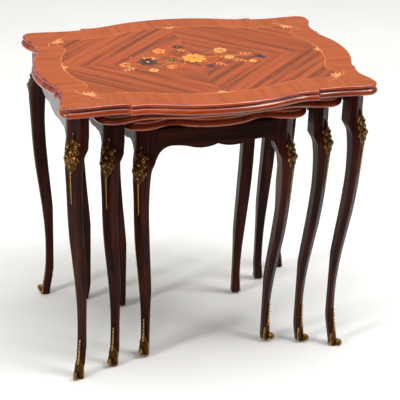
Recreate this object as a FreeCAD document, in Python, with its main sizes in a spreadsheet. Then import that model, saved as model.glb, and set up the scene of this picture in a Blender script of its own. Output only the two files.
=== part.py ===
import FreeCAD, Part
import math
import os
import Sketcher

# A nest of three tables.  The middle table slides under the large one and the small one
# under the middle one, each hanging by the overhang of its top on two side runners.
# Frame: +Z up, +X to the right, the open front of the nest faces -Y.  The origin is on the
# floor under the centre of the large top.

V = FreeCAD.Vector

SIZES = (
    ("large_width", 607, "large top, nose to nose along X"),
    ("large_depth", 462, "large top, nose to nose along Y"),
    ("large_height", 560, "floor to the top of the large table"),
    ("large_side_overhang", 28.2, "large top past its legs, at the sides"),
    ("large_end_overhang", 47.2, "large top past its legs, front and back"),
    ("middle_side_overhang", 19.4, "middle top past its legs, at the sides"),
    ("middle_end_overhang", 18.8, "middle top past its legs, front and back"),
    ("small_side_overhang", 26.7, "small top past its legs, at the sides"),
    ("small_end_overhang", 13.2, "small top past its legs, front and back"),
    ("middle_side_room", 1.8, "middle top to the nearer front leg of the large table"),
    ("small_side_room", 1.6, "small top to the nearer front leg of the middle table"),
    ("middle_back_room", 4.3, "middle top to the back apron of the large table"),
    ("small_back_room", 16.7, "small top to the back apron of the middle table"),
    ("middle_side_shift", 6.5, "middle table right of the large table's centre"),
    ("small_side_shift", 0, "small table right of the middle table's centre"),
    ("middle_forward", 7, "middle table's centre forward of the large table's"),
    ("small_forward", 15, "small table's centre forward of the middle table's"),
    ("middle_gap", 7, "underside of the large top to the middle top"),
    ("small_gap", 8, "underside of the middle top to the small top"),
    ("middle_lift", 3, "middle feet above the floor when it hangs nested"),
    ("small_lift", 5, "small feet above the floor when it hangs nested"),
    ("top_thickness", 20, "whole thickness of each top"),
    ("veneer_thickness", 1, "thickness of the veneers"),
    ("moulding_show", 7, "moulding seen from above, outside the veneer"),
    ("moulding_land", 0.8, "flat land of the moulding outside the veneer"),
    ("moulding_width", 14, "width of the edge moulding"),
    ("border_width", 47, "width of the veneer border"),
    ("string_width", 2, "width of the pale inlay line"),
    ("field_corner", 12, "corner radius of the veneer field"),
    ("panel_share", 0.42, "marquetry panel, as a share of the field's length"),
    ("panel_slope", 0.36, "marquetry panel, its width over its length"),
    ("leg_block", 35, "side of the square block at the top of a leg"),
    ("block_depth", 62, "height of that block"),
    ("chamfer_share", 0.56, "flat outer corner of a leg, as a share of its side"),
    ("knee_swell", 7, "knee past the face of the block"),
    ("ankle_set", 18.9, "ankle inside the face of the block"),
    ("knee_depth", 135, "underside of the top to the end of the knee"),
    ("apron_thickness", 14, "thickness of the aprons"),
    ("apron_setback", 1, "apron face behind the face of the leg block"),
    ("apron_crest", 42, "side and back aprons, depth at the crest of the lower edge"),
    ("apron_dip", 48, "side and back aprons, depth where the wave turns"),
    ("apron_cusp", 45, "side and back aprons, depth at the middle point"),
    ("front_rise", 8, "front apron of the small table, shallower by this"),
    ("bracket_width", 33, "rounded bracket at each end of an apron"),
    ("wave_share", 0.42, "turn of the wave, as a share of half the apron"),
    ("wave_bulge", 4, "how far the middle of the lower edge swells down"),
    ("tenon_length", 14, "tenon on each end of an apron"),
    ("tenon_thickness", 5, "thickness of the tenon"),
    ("tenon_height", 26, "height of the tenon"),
    ("joint_room", 0.1, "clearance in mortises and screw holes"),
    ("runner_room", 0.3, "top of a runner to the top that hangs on it"),
    ("runner_thickness", 8, "thickness of the runner's ledge"),
    ("runner_back", 9, "thickness of the runner's upright strip"),
    ("middle_bearing", 4.4, "middle top on the large runners, on its narrower side"),
    ("small_bearing", 12.4, "small top on the middle runners, on its narrower side"),
    ("runner_start", 39, "runner's front end behind the front leg"),
    ("glue_block", 22, "length of a corner block along the side apron"),
    ("glue_block_height", 25, "height of a corner block"),
    ("glue_block_room", 1.2, "corner block to the way of the table inside"),
    ("mount_top", 33, "tip of a knee mount below the underside"),
    ("mount_half_width", 11.5, "half the width of a knee mount"),
    ("mount_thickness", 4, "thickness of a knee mount"),
    ("mount_seat", 0.15, "metal mounts to the wood under them"),
    ("sabot_wall", 2.4, "wall of a sabot"),
    ("sabot_height", 46, "height of a sabot's cup"),
    ("sabot_tongue", 72, "height of a sabot's tongue"),
    ("tongue_width", 6, "width of a sabot's tongue"),
    ("sabot_rise", 0.8, "sabot's rim above the foot's sole"),
    ("toe_inset", 12, "middle of the toe inside the faces of the block"),
    ("toe_radius", 5.6, "radius of the toe"),
    ("pin_radius", 0.8, "radius of a mount pin"),
    ("pin_length", 12, "length of a mount pin's shank"),
    ("screw_radius", 2, "radius of a top screw"),
    ("screw_bite", 12, "top screw inside the top board"),
)

# The lower half of a leg, as shares of the way from the knee to the floor:
# (way down, how far in towards the ankle, side of the section over the block's side).
LEG_SWEEP = (
    (0.27, 0.11, 0.734),
    (0.40, 0.44, 0.677),
    (0.53, 0.76, 0.609),
    (0.69, 0.98, 0.546),
    (0.84, 0.94, 0.486),
    (1.00, 0.63, 0.430),
)
# Curves of a top's edge: the shares of the way over which they stay level at each end.
BOW_SWING = (0.6, 0.2)
LOBE_SWING = (0.4, 0.45)
NUB_SWING = (0.4, 0.3)
# Section of the edge moulding: (depth below the top, inset from the nose).
MOULDING_SECTION = ((2.8, 2.8), (6.2, 3.4), (8.6, 6.0), (11.4, 2.0), (15.0, 0.0), (20.0, 3.6))
# Half of the knee mount's leaf: (depth below its tip, half width over the mount's).
LEAF = ((0.0, 0.03), (16.0, 0.42), (38.0, 1.0), (54.0, 0.92), (66.0, 0.42), (80.0, 0.14),
        (136.0, 0.08))
LEAF_PINS = (1, 3)
# How far a pin's head and its shank run into each other.
HEAD_OVERLAP = 0.02
# An apron's brackets: depth over the block's, hollow over the bracket's width, and how far
# the edge between bracket and wave sags.
BRACKET_DEPTH = 0.97
BRACKET_HOLLOW = 0.27
CREST_SAG = 1.2
# The runner's front edges are cut back by this share of the ledge's thickness.
LEAD_SHARE = 0.4
# A sabot: how far the cup wraps round the leg, over the block's side; its neck's radius over
# the toe's; how deep the neck is rooted; the lap of the tongue on the cup; and the reach of
# the box that is kept of the cup.
CUP_WRAP = 0.22
NECK_SHARE = 0.86
NECK_ROOT = 4.0
TONGUE_LAP = 2.0
KEEP_WIDE = 80.0
KEEP_TALL = 200.0

doc = FreeCAD.newDocument("nesting_tables")
sheet = doc.addObject("Spreadsheet::Sheet", "sizes")
for row, (alias, number, meaning) in enumerate(SIZES, start=1):
    sheet.set("A%d" % row, alias)
    sheet.set("B%d" % row, str(number))
    sheet.set("C%d" % row, meaning)
    sheet.setAlias("B%d" % row, alias)
doc.recompute()


class Dim:
    """A size that carries its number and the sheet formula that gives it."""

    def __init__(self, value, text):
        self.value = value
        self.text = text

    def joined(self, other, sign, value):
        return Dim(value, "(%s %s %s)" % (self.text, sign, other.text))

    def __add__(self, other):
        other = dim(other)
        return self.joined(other, "+", self.value + other.value)

    def __sub__(self, other):
        other = dim(other)
        return self.joined(other, "-", self.value - other.value)

    def __mul__(self, other):
        other = dim(other)
        return self.joined(other, "*", self.value * other.value)

    def __truediv__(self, other):
        other = dim(other)
        return self.joined(other, "/", self.value / other.value)

    def __neg__(self):
        return Dim(-self.value, "(0 - %s)" % self.text)

    def __float__(self):
        return self.value


def dim(item):
    """Any number as a Dim."""
    if isinstance(item, Dim):
        return item
    return Dim(float(item), repr(float(item))) if item >= 0 else Dim(float(item), "(0 - %r)" % -item)


def size(alias):
    """The Dim of one cell of the sheet."""
    return Dim(float(getattr(sheet, alias)), "sizes." + alias)


class Table:
    """Where one table of the nest stands and the sizes that its pieces share."""

    def __init__(self, name, half_x, half_y, centre, top_z, lift, overhangs, plan):
        self.name = name
        self.half_x = half_x
        self.half_y = half_y
        self.centre_x, self.centre_y = centre
        self.top_z = top_z
        self.under_z = top_z - size("top_thickness")
        self.lift = lift
        self.leg_x = half_x - overhangs[0]
        self.leg_y = half_y - overhangs[1]
        self.inner_x = self.leg_x - size("leg_block")
        self.inner_y = self.leg_y - size("leg_block")
        self.plan = plan

    def apron_inner(self, leg_face):
        """Inner face of an apron that stands behind the given face of the leg blocks."""
        return leg_face - size("apron_setback") - size("apron_thickness")


# The plan of a top: how far its lobes, waists and corners stand in from the bows.
LARGE_PLAN = {
    "corner": 22.0,
    "front": {"lobe": 31.0, "waist": 34.5, "waist_at": 102.0, "bow_end": 154.0,
              "nub": 25.0, "nub_width": 22.0},
    "side": {"lobe": 10.5, "waist": 23.0, "waist_at": 106.0, "bow_end": 140.5,
             "nub": 18.5, "nub_width": 9.0},
}
MIDDLE_PLAN = {
    "corner": 33.0,
    "front": {"lobe": 0.5, "waist": 12.5, "waist_at": 95.0},
    "side": {"lobe": 0.5, "waist": 9.0, "waist_at": 90.0},
}
SMALL_PLAN = {
    "corner": 34.0,
    "front": {"lobe": 8.0, "waist": 19.3, "waist_at": 93.0},
    "side": {"lobe": 0.5, "waist": 7.0, "waist_at": 76.0},
}
# The small step of the large top's edge, from the end of its nub down to its waist.
NUB_STEP = 3.5
NUB_RISE = 1.2


def made_tables():
    """The three tables, each sized to hang inside the one around it."""
    large = Table(
        "large", size("large_width") / 2, size("large_depth") / 2, (dim(0), dim(0)),
        size("large_height"), dim(0),
        (size("large_side_overhang"), size("large_end_overhang")), LARGE_PLAN)
    middle_half_x = large.inner_x - size("middle_side_room") - size("middle_side_shift")
    middle_half_y = (large.apron_inner(large.leg_y) - size("middle_back_room")
                     + size("middle_forward"))
    middle = Table(
        "middle", middle_half_x, middle_half_y,
        (size("middle_side_shift"), -size("middle_forward")),
        large.under_z - size("middle_gap"), size("middle_lift"),
        (size("middle_side_overhang"), size("middle_end_overhang")), MIDDLE_PLAN)
    small_half_x = middle.inner_x - size("small_side_room") - size("small_side_shift")
    small_half_y = (middle.apron_inner(middle.leg_y) - size("small_back_room")
                    + size("small_forward"))
    small = Table(
        "small", small_half_x, small_half_y,
        (middle.centre_x + size("small_side_shift"), middle.centre_y - size("small_forward")),
        middle.under_z - size("small_gap"), size("small_lift"),
        (size("small_side_overhang"), size("small_end_overhang")), SMALL_PLAN)
    return large, middle, small


LARGE, MIDDLE, SMALL = made_tables()
PATTERN_LENGTH = LARGE.under_z
nodes = []


def add(kind, name, **properties):
    """A document object with its properties set; a Dim is bound by its formula."""
    item = doc.addObject(kind, name)
    for key, setting in properties.items():
        if isinstance(setting, Dim):
            item.setExpression(key, setting.text)
        else:
            setattr(item, key, setting)
    return item


def place(item, x, y, z, turn=None):
    """Puts an object at a place that follows the sheet."""
    if turn is not None:
        item.Placement = FreeCAD.Placement(V(0, 0, 0), turn)
    for axis, setting in (("x", x), ("y", y), ("z", z)):
        item.setExpression(".Placement.Base." + axis, dim(setting).text)
    return item


def node(table, label, parts):
    """One sub-part of a table: its solids, carried to where the table stands."""
    name = table.name + "_" + label
    item = add("Part::Compound", name, Links=parts)
    item.Label = name
    place(item, table.centre_x, table.centre_y, 0)
    nodes.append(item)
    return item


def shaped(name, shape):
    """A construction outline whose shape is worked out here."""
    item = doc.addObject("Part::Feature", name)
    item.Shape = shape
    return item


def extruded(name, base, direction, forward, backward=0):
    """A solid drawn out of an outline along a direction."""
    return add("Part::Extrusion", name, Base=base, DirMode="Custom", Dir=direction, Solid=True,
               LengthFwd=dim(forward), LengthRev=dim(backward))


def common(name, parts):
    return add("Part::MultiCommon", name, Shapes=parts)


def fused(name, parts):
    return add("Part::MultiFuse", name, Shapes=parts)


def cut(name, base, tool):
    return add("Part::Cut", name, Base=base, Tool=tool)


def mirrored(name, source, normal):
    return add("Part::Mirroring", name, Source=source, Base=V(0, 0, 0), Normal=normal)


def box(name, length, width, height, x, y, z):
    item = add("Part::Box", name, Length=dim(length), Width=dim(width), Height=dim(height))
    return place(item, x, y, z)


def four_corners(name, source):
    """A piece at the back right corner, and its mirror images at the other three."""
    left = mirrored(name + "_left", source, V(1, 0, 0))
    front = mirrored(name + "_front", source, V(0, 1, 0))
    front_left = mirrored(name + "_front_left", left, V(0, 1, 0))
    return {"back_right": source, "back_left": left, "front_right": front,
            "front_left": front_left}


# ---------------------------------------------------------------- plan of the tops

def spline(points):
    """A smooth curve through points."""
    curve = Part.BSplineCurve()
    curve.interpolate(points)
    return curve.toShape()


def swing(start, end, early, late):
    """A curve from start to end that sets off and arrives along the same direction.

    start and end are (along, out); early and late are the shares of the way over which it
    stays level at each end.
    """
    way = end[0] - start[0]
    return [start, (start[0] + way * early, start[1]), (end[0] - way * late, end[1]), end]


def half_side(reach, out, lobe_at, shape, inset):
    """Half of one side of a top, from its middle to its lobe, as poles of curves."""
    lobe = (lobe_at, out - shape["lobe"])
    nubbed = "nub" in shape and inset <= float(size("moulding_width"))
    narrowed = 1.0 if nubbed else (reach - inset) / reach
    waist = ((reach - shape["waist_at"]) * narrowed, out - shape["waist"])
    if not nubbed:
        return [swing((0.0, out), waist, *BOW_SWING), swing(waist, lobe, *LOBE_SWING)]
    bow_end = (reach - shape["bow_end"], out - shape["nub"] - NUB_RISE)
    nub = (bow_end[0] + shape["nub_width"], out - shape["nub"])
    step = (nub[0] + NUB_STEP, waist[1] + NUB_RISE)
    return [swing((0.0, out), bow_end, *BOW_SWING), swing(bow_end, nub, *NUB_SWING),
            [nub, step], swing(step, waist, *NUB_SWING), swing(waist, lobe, *LOBE_SWING)]


def outline_wire(table, inset, z):
    """The plan outline of a top, set in from its nose, at a height.

    Each side is a bow that falls to a waist and rises again to a lobe; a quarter circle
    joins the lobes at each corner.
    """
    half_x = float(table.half_x)
    half_y = float(table.half_y)
    plan = table.plan
    radius = max(plan["corner"] - inset, float(size("field_corner")))
    slack = radius - (plan["corner"] - inset)
    lobe_x = half_x - plan["side"]["lobe"] - plan["corner"] - slack
    lobe_y = half_y - plan["front"]["lobe"] - plan["corner"] - slack
    front = half_side(half_x, half_y - inset, lobe_x, plan["front"], inset)
    side = half_side(half_y, half_x - inset, lobe_y, plan["side"], inset)
    edges = []
    slant = radius * math.sqrt(0.5)
    for sx in (-1, 1):
        for sy in (-1, 1):
            runs = [[V(sx * a, sy * o, z) for a, o in poles] for poles in front]
            runs += [[V(sx * o, sy * a, z) for a, o in poles] for poles in side]
            for poles in runs:
                curve = Part.BezierCurve()
                curve.setPoles(poles)
                edges.append(curve.toShape())
            arc = Part.Arc(V(sx * lobe_x, sy * (lobe_y + radius), z),
                           V(sx * (lobe_x + slant), sy * (lobe_y + slant), z),
                           V(sx * (lobe_x + radius), sy * lobe_y, z))
            edges.append(arc.toShape())
    return Part.Wire(Part.__sortEdges__(edges))


def plate(table, label, inset, bottom_z, thickness, hole_inset=None):
    """A flat plate with the outline of the top, set in from the nose; a frame if holed."""
    name = "%s_%s" % (table.name, label)
    wires = [outline_wire(table, inset, float(bottom_z))]
    if hole_inset is not None:
        wires.append(outline_wire(table, hole_inset, float(bottom_z)))
    face = Part.Face(wires, "Part::FaceMakerBullseye")
    return extruded(name + "_plate", shaped(name + "_outline", face), V(0, 0, 1), thickness)


def make_top(table):
    """Core board, moulded edge, veneer border, inlay line, field and marquetry panel."""
    name = table.name
    thickness = size("top_thickness")
    veneer = size("veneer_thickness")
    veneer_z = table.top_z - veneer
    core_inset = float(size("moulding_width"))
    show = float(size("moulding_show"))
    string_inset = show + float(size("border_width"))
    field_inset = string_inset + float(size("string_width"))
    core = plate(table, "core", core_inset, table.under_z, thickness - veneer)
    holes = make_screws(table)
    board = cut(name + "_board_bored", core, holes)
    node(table, "top_board", [board])

    top_z = float(table.top_z)
    scale = float(thickness) / MOULDING_SECTION[-1][0]
    sections = [(0.0, show - float(size("moulding_land")))]
    sections += [(depth * scale, inset) for depth, inset in MOULDING_SECTION]
    wires = [shaped("%s_moulding_%d" % (name, i), outline_wire(table, inset, top_z - depth))
             for i, (depth, inset) in enumerate(sections)]
    rim = add("Part::Loft", name + "_rim", Sections=wires, Solid=True, Ruled=True)
    bed = plate(table, "bed", core_inset, table.under_z, thickness)
    rebate = plate(table, "rebate", show, veneer_z, veneer)
    node(table, "edge_moulding", [cut(name + "_rim_bored", rim,
                                      fused(name + "_rim_bed", [bed, rebate]))])

    node(table, "crossband", [plate(table, "border", show, veneer_z, veneer, string_inset)])
    node(table, "stringing", [plate(table, "line", string_inset, veneer_z, veneer, field_inset)])

    panel_half = (table.half_x - field_inset) * size("panel_share")
    oval = add("Part::Ellipse", name + "_oval", MajorRadius=panel_half,
               MinorRadius=panel_half * size("panel_slope"))
    place(oval, 0, 0, veneer_z)
    panel = extruded(name + "_panel", oval, V(0, 0, 1), veneer)
    panel_hole = extruded(name + "_panel_hole", oval, V(0, 0, 1), veneer)
    node(table, "marquetry", [panel])
    field = plate(table, "field", field_inset, veneer_z, veneer)
    field_open = cut(name + "_field_open", field, panel_hole)
    leaves = []
    for x_side in (-1, 0):
        for y_side in (-1, 0):
            quarter = box("%s_quarter_%d%d" % (name, -x_side, -y_side), table.half_x,
                          table.half_y, veneer, table.half_x * x_side, table.half_y * y_side,
                          veneer_z)
            leaves.append(common(quarter.Name + "_leaf", [field_open, quarter]))
    node(table, "field_veneer", leaves)


# ---------------------------------------------------------------- legs and their mounts

def leg_stations():
    """Stations down a leg: (depth, outer face past the block's, side of the section)."""
    block = float(size("leg_block"))
    swell = float(size("knee_swell"))
    block_end = float(size("block_depth"))
    knee_end = float(size("knee_depth"))
    knee_start = block_end / 2
    rest = float(PATTERN_LENGTH) - knee_end
    stations = [
        (knee_start, 0.0, block),
        (block_end * 0.8, 0.17 * swell, block * 1.04),
        (block_end, 0.62 * swell, block + 0.62 * swell),
        (block_end + 15, swell, block * 1.006),
        (block_end + 33, 0.98 * swell, block * 0.926),
        (knee_end, 0.69 * swell, block * 0.809),
    ]
    stations += [(knee_end + way * rest, -float(size("ankle_set")) * inward, block * share)
                 for way, inward, share in LEG_SWEEP]
    return stations


STATIONS = leg_stations()


def profile_face(table, face_at, point, grow):
    """A leg's side view: straight block, swelling knee, long sweep in, and flared foot.

    point turns (across, z) into V; face_at is the block's outer face; grow moves the
    outer line outwards.
    """
    under = float(table.under_z)
    block_inner = face_at - float(size("leg_block"))
    outer = [point(face_at + out + grow, under - depth) for depth, out, _ in STATIONS]
    notch_depth = float(size("block_depth"))
    inner = [point(block_inner, under - notch_depth)]
    inner += [point(face_at + out - side, under - depth)
              for depth, out, side in STATIONS if depth > notch_depth]
    top_out = point(face_at + grow, under)
    top_in = point(block_inner, under)
    edges = [Part.makeLine(top_out, outer[0]), spline(outer), Part.makeLine(outer[-1], inner[-1]),
             spline(inner), Part.makeLine(inner[0], top_in), Part.makeLine(top_in, top_out)]
    return Part.Face(Part.Wire(Part.__sortEdges__(edges)))


def chamfer_point(table, depth, outer, side, push):
    """A point on the middle of the flat outer corner, pushed straight out of it."""
    back = side * float(size("chamfer_share")) / 2
    out = push * math.sqrt(0.5)
    return V(float(table.leg_x) + outer - back + out, float(table.leg_y) + outer - back + out,
             float(table.under_z) - depth)


def chamfer_edge(table, push):
    """The middle line of the flat outer corner, from knee to floor, and its ends."""
    points = [chamfer_point(table, depth, outer, side, push) for depth, outer, side in STATIONS]
    return points, spline(points)


def corner_face(table, push):
    """Diagonal view of a leg, bounded outside by the flat on its outer corner."""
    points, curve = chamfer_edge(table, push)
    top = chamfer_point(table, 0.0, STATIONS[0][1], STATIONS[0][2], push)
    inward = V(-1, -1, 0) * float(size("leg_block")) * 2
    edges = [Part.makeLine(top, points[0]), curve,
             Part.makeLine(points[-1], points[-1] + inward),
             Part.makeLine(points[-1] + inward, V(0, 0, top.z - points[-1].z) + points[-1] + inward),
             Part.makeLine(V(0, 0, top.z - points[-1].z) + points[-1] + inward, top)]
    return Part.Face(Part.Wire(Part.__sortEdges__(edges)))


ACROSS = V(1, -1, 0).normalize()
OUTWARD = V(1, 1, 0).normalize()


def leg_solid(table, label, grow, bottom_z, top_z):
    """A leg sawn from three sides, between two heights."""
    name = "%s_%s" % (table.name, label)
    wide = size("leg_block") * 4
    x_face = shaped(name + "_x_face", profile_face(
        table, float(table.leg_x), lambda a, z: V(a, 0, z), grow))
    y_face = shaped(name + "_y_face", profile_face(
        table, float(table.leg_y), lambda a, z: V(0, a, z), grow))
    d_face = shaped(name + "_d_face", corner_face(table, grow))
    x_solid = extruded(name + "_x", x_face, V(0, 1, 0), table.half_y)
    y_solid = extruded(name + "_y", y_face, V(1, 0, 0), table.half_x)
    d_solid = extruded(name + "_d", d_face, ACROSS, wide, wide)
    slab = box(name + "_slab", table.half_x, table.half_y, top_z - bottom_z, 0, 0, bottom_z)
    return common(name + "_sawn", [x_solid, y_solid, d_solid, slab])


def make_mortises(table):
    """Mortises in the back right leg, for the side apron and for the end apron."""
    room = size("joint_room")
    length = size("tenon_length") + room
    height = size("tenon_height") + room * 2
    thickness = size("tenon_thickness") + room * 2
    z = tenon_bottom(table) - room
    side_x = tenon_near(table.leg_x) - room
    end_y = tenon_near(table.leg_y) - room
    side = box(table.name + "_side_mortise", thickness, length, height, side_x, table.inner_y, z)
    end = box(table.name + "_end_mortise", length, thickness, height, table.inner_x, end_y, z)
    return [side, end]


def tenon_near(leg_face):
    """Inner face of a tenon, in the middle of its apron's thickness."""
    inner = leg_face - size("apron_setback") - size("apron_thickness")
    return inner + (size("apron_thickness") - size("tenon_thickness")) / 2


def tenon_bottom(table):
    return table.under_z - size("tenon_height") - 6


def make_legs(table):
    """Four legs with their mortises and pin holes, and the metal on them."""
    name = table.name
    sawn = leg_solid(table, "leg", 0.0, table.lift, table.under_z)
    mortises = make_mortises(table)
    pins, pin_holes = make_pins(table)
    leg = cut(name + "_leg_cut", sawn, fused(name + "_leg_holes", mortises + pin_holes))
    corners = four_corners(name + "_leg_at", leg)
    if table is not SMALL:
        # an open front has no apron, so the front legs have a side mortise only
        front_holes = fused(name + "_front_leg_holes", [mortises[0]] + pin_holes)
        front = cut(name + "_front_leg_cut", sawn, front_holes)
        front_right = mirrored(name + "_front_leg_right", front, V(0, 1, 0))
        corners["front_right"] = front_right
        corners["front_left"] = mirrored(name + "_front_leg_left", front_right, V(1, 0, 0))
    for corner, item in corners.items():
        node(table, "leg_" + corner, [item])

    mount = cut(name + "_mount_bored", make_leaf(table), fused(name + "_mount_holes", pin_holes))
    node(table, "knee_mounts", list(four_corners(name + "_mount_at", mount).values()))
    all_pins = add("Part::Compound", name + "_pin_pair", Links=pins)
    node(table, "mount_pins", list(four_corners(name + "_pin_at", all_pins).values()))
    node(table, "sabots", list(four_corners(name + "_sabot_at", make_sabot(table)).values()))


def strip_on_corner(table, label, near, far):
    """A skin that follows the flat outer corner of a leg, between two pushes outwards."""
    near_points, near_curve = chamfer_edge(table, near)
    far_points, far_curve = chamfer_edge(table, far)
    edges = [near_curve, far_curve, Part.makeLine(near_points[0], far_points[0]),
             Part.makeLine(near_points[-1], far_points[-1])]
    face = shaped("%s_%s_skin_face" % (table.name, label),
                  Part.Face(Part.Wire(Part.__sortEdges__(edges))))
    wide = size("mount_half_width") * 2
    return extruded("%s_%s_skin" % (table.name, label), face, ACROSS, wide, wide)


def make_leaf(table):
    """A knee mount: a leaf with a pointed tip, a broad middle and a thin tail."""
    half_width = float(size("mount_half_width"))
    tip = float(size("mount_top"))
    heart = V(float(table.leg_x), float(table.leg_y), float(table.under_z) - tip)
    heart = heart - OUTWARD * float(size("leg_block")) * 2
    right = [heart + ACROSS * (share * half_width) - V(0, 0, depth) for depth, share in LEAF]
    left = [heart - ACROSS * (share * half_width) - V(0, 0, depth) for depth, share in LEAF]
    edges = [spline(right), spline(left), Part.makeLine(right[0], left[0]),
             Part.makeLine(right[-1], left[-1])]
    face = shaped(table.name + "_leaf_face", Part.Face(Part.Wire(Part.__sortEdges__(edges))))
    prism = extruded(table.name + "_leaf_prism", face, OUTWARD, size("leg_block") * 4)
    skin = strip_on_corner(table, "mount", float(size("mount_seat")),
                           float(size("mount_thickness")))
    return common(table.name + "_leaf", [prism, skin])


def make_pins(table):
    """Two round-headed pins through a knee mount, and the holes they sit in."""
    pins = []
    holes = []
    proud = float(size("mount_thickness")) + float(size("mount_seat"))
    shank = float(size("pin_length"))
    head_radius = float(size("pin_radius")) * 2
    for number, leaf_row in enumerate(LEAF_PINS):
        depth = float(size("mount_top")) + LEAF[leaf_row][0]
        point, outward = on_corner(table, depth)
        turn = FreeCAD.Rotation(V(0, 0, 1), outward)
        start = point - outward * (shank - proud)
        pin = add("Part::Cylinder", "%s_pin_%d" % (table.name, number),
                  Radius=size("pin_radius"), Height=shank)
        pin.Placement = FreeCAD.Placement(start, turn)
        hole = add("Part::Cylinder", "%s_pin_hole_%d" % (table.name, number),
                   Radius=size("pin_radius") + size("joint_room"), Height=shank * 2)
        hole.Placement = FreeCAD.Placement(start - outward * float(size("joint_room")), turn)
        head = add("Part::Sphere", "%s_pin_head_%d" % (table.name, number), Radius=head_radius,
                   Angle1=0)
        head.Placement = FreeCAD.Placement(point + outward * (proud - HEAD_OVERLAP), turn)
        pins.append(fused("%s_pin_whole_%d" % (table.name, number), [pin, head]))
        holes.append(hole)
    return pins, holes


def on_corner(table, depth):
    """The point on the middle of the flat outer corner at a depth, and the way out of it."""
    _, curve = chamfer_edge(table, 0.0)
    level = float(table.under_z) - depth
    low, high = curve.FirstParameter, curve.LastParameter
    for _ in range(50):
        middle = (low + high) / 2
        if curve.valueAt(middle).z > level:
            low = middle
        else:
            high = middle
    outward = ACROSS.cross(curve.tangentAt(low)).normalize()
    return curve.valueAt(low), outward if outward.dot(OUTWARD) > 0 else -outward


def make_sabot(table):
    """A cast toe mount: a cup round the outer corner, a tongue up the leg and a round toe."""
    name = table.name
    rim_z = table.lift + size("sabot_rise")
    cup_top = table.lift + size("sabot_height")
    wall = float(size("sabot_wall"))
    seat = float(size("mount_seat"))
    outer = leg_solid(table, "sabot_out", wall, rim_z, cup_top)
    inner = leg_solid(table, "sabot_in", seat, rim_z - 1, cup_top + 1)
    cup = cut(name + "_cup_whole", outer, inner)
    foot, _ = on_corner(table, float(table.under_z) - float(cup_top))
    sole, _ = on_corner(table, float(table.under_z) - float(table.lift) - 1)
    keep_depth = float(size("leg_block")) * CUP_WRAP
    keep_from = min(foot.dot(OUTWARD), sole.dot(OUTWARD)) - keep_depth
    side_at = (float(table.leg_x) - float(table.leg_y)) / 2
    keep = add("Part::Box", name + "_keep", Length=KEEP_WIDE, Width=KEEP_WIDE, Height=KEEP_TALL)
    keep.Placement = FreeCAD.Placement(
        V(side_at, -side_at, float(table.lift)) + OUTWARD * keep_from + ACROSS * (KEEP_WIDE / 2),
        FreeCAD.Rotation(OUTWARD, ACROSS * -1, V(0, 0, 1), "XYZ"))
    cup_kept = common(name + "_cup", [cup, keep])

    toe_radius = size("toe_radius")
    toe_z = float(rim_z) + float(toe_radius)
    toe_at = V(float(table.leg_x) - float(size("toe_inset")),
               float(table.leg_y) - float(size("toe_inset")), toe_z)
    root = V(sole.x, sole.y, toe_z) - OUTWARD * NECK_ROOT
    turn = FreeCAD.Rotation(V(0, 0, 1), OUTWARD)
    toe = add("Part::Sphere", name + "_toe_ball", Radius=toe_radius)
    toe.Placement = FreeCAD.Placement(toe_at, turn)
    neck = add("Part::Cylinder", name + "_toe_neck", Radius=toe_radius * NECK_SHARE,
               Height=(toe_at - root).Length)
    neck.Placement = FreeCAD.Placement(root, turn)
    toe_whole = cut(name + "_toe", fused(name + "_toe_solid", [toe, neck]), inner)

    tongue_tall = size("sabot_tongue") - size("sabot_height") + TONGUE_LAP
    tongue_box = box(name + "_tongue_box", size("tongue_width"), KEEP_WIDE, tongue_tall,
                     0, 0, cup_top - TONGUE_LAP)
    tongue_box.Placement = FreeCAD.Placement(
        V(side_at, -side_at, float(cup_top) - TONGUE_LAP)
        + OUTWARD * (keep_from - KEEP_WIDE / 2) - ACROSS * (float(size("tongue_width")) / 2),
        FreeCAD.Rotation(ACROSS, OUTWARD, V(0, 0, 1), "XYZ"))
    skin = strip_on_corner(table, "tongue", seat, wall)
    tongue = common(name + "_tongue", [tongue_box, skin])
    return fused(name + "_sabot", [cup_kept, toe_whole, tongue])


# ---------------------------------------------------------------- aprons, runners, blocks

def origin_plane(body, role):
    """One of a body's own origin planes, by its role."""
    return [feature for feature in body.Origin.OriginFeatures if feature.Role == role][0]


def new_sketch(body, name, role):
    sketch = body.newObject("Sketcher::SketchObject", name)
    sketch.AttachmentSupport = (origin_plane(body, role), [""])
    sketch.MapMode = "FlatFace"
    return sketch


def pin_vertex(sketch, edge, end, x, y):
    """Fixes one end of an edge at a place from the sheet."""
    for kind, setting in (("DistanceX", x), ("DistanceY", y)):
        setting = dim(setting)
        index = sketch.addConstraint(
            Sketcher.Constraint(kind, -1, 1, edge, end, setting.value))
        sketch.setExpression("Constraints[%d]" % index, setting.text)


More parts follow.
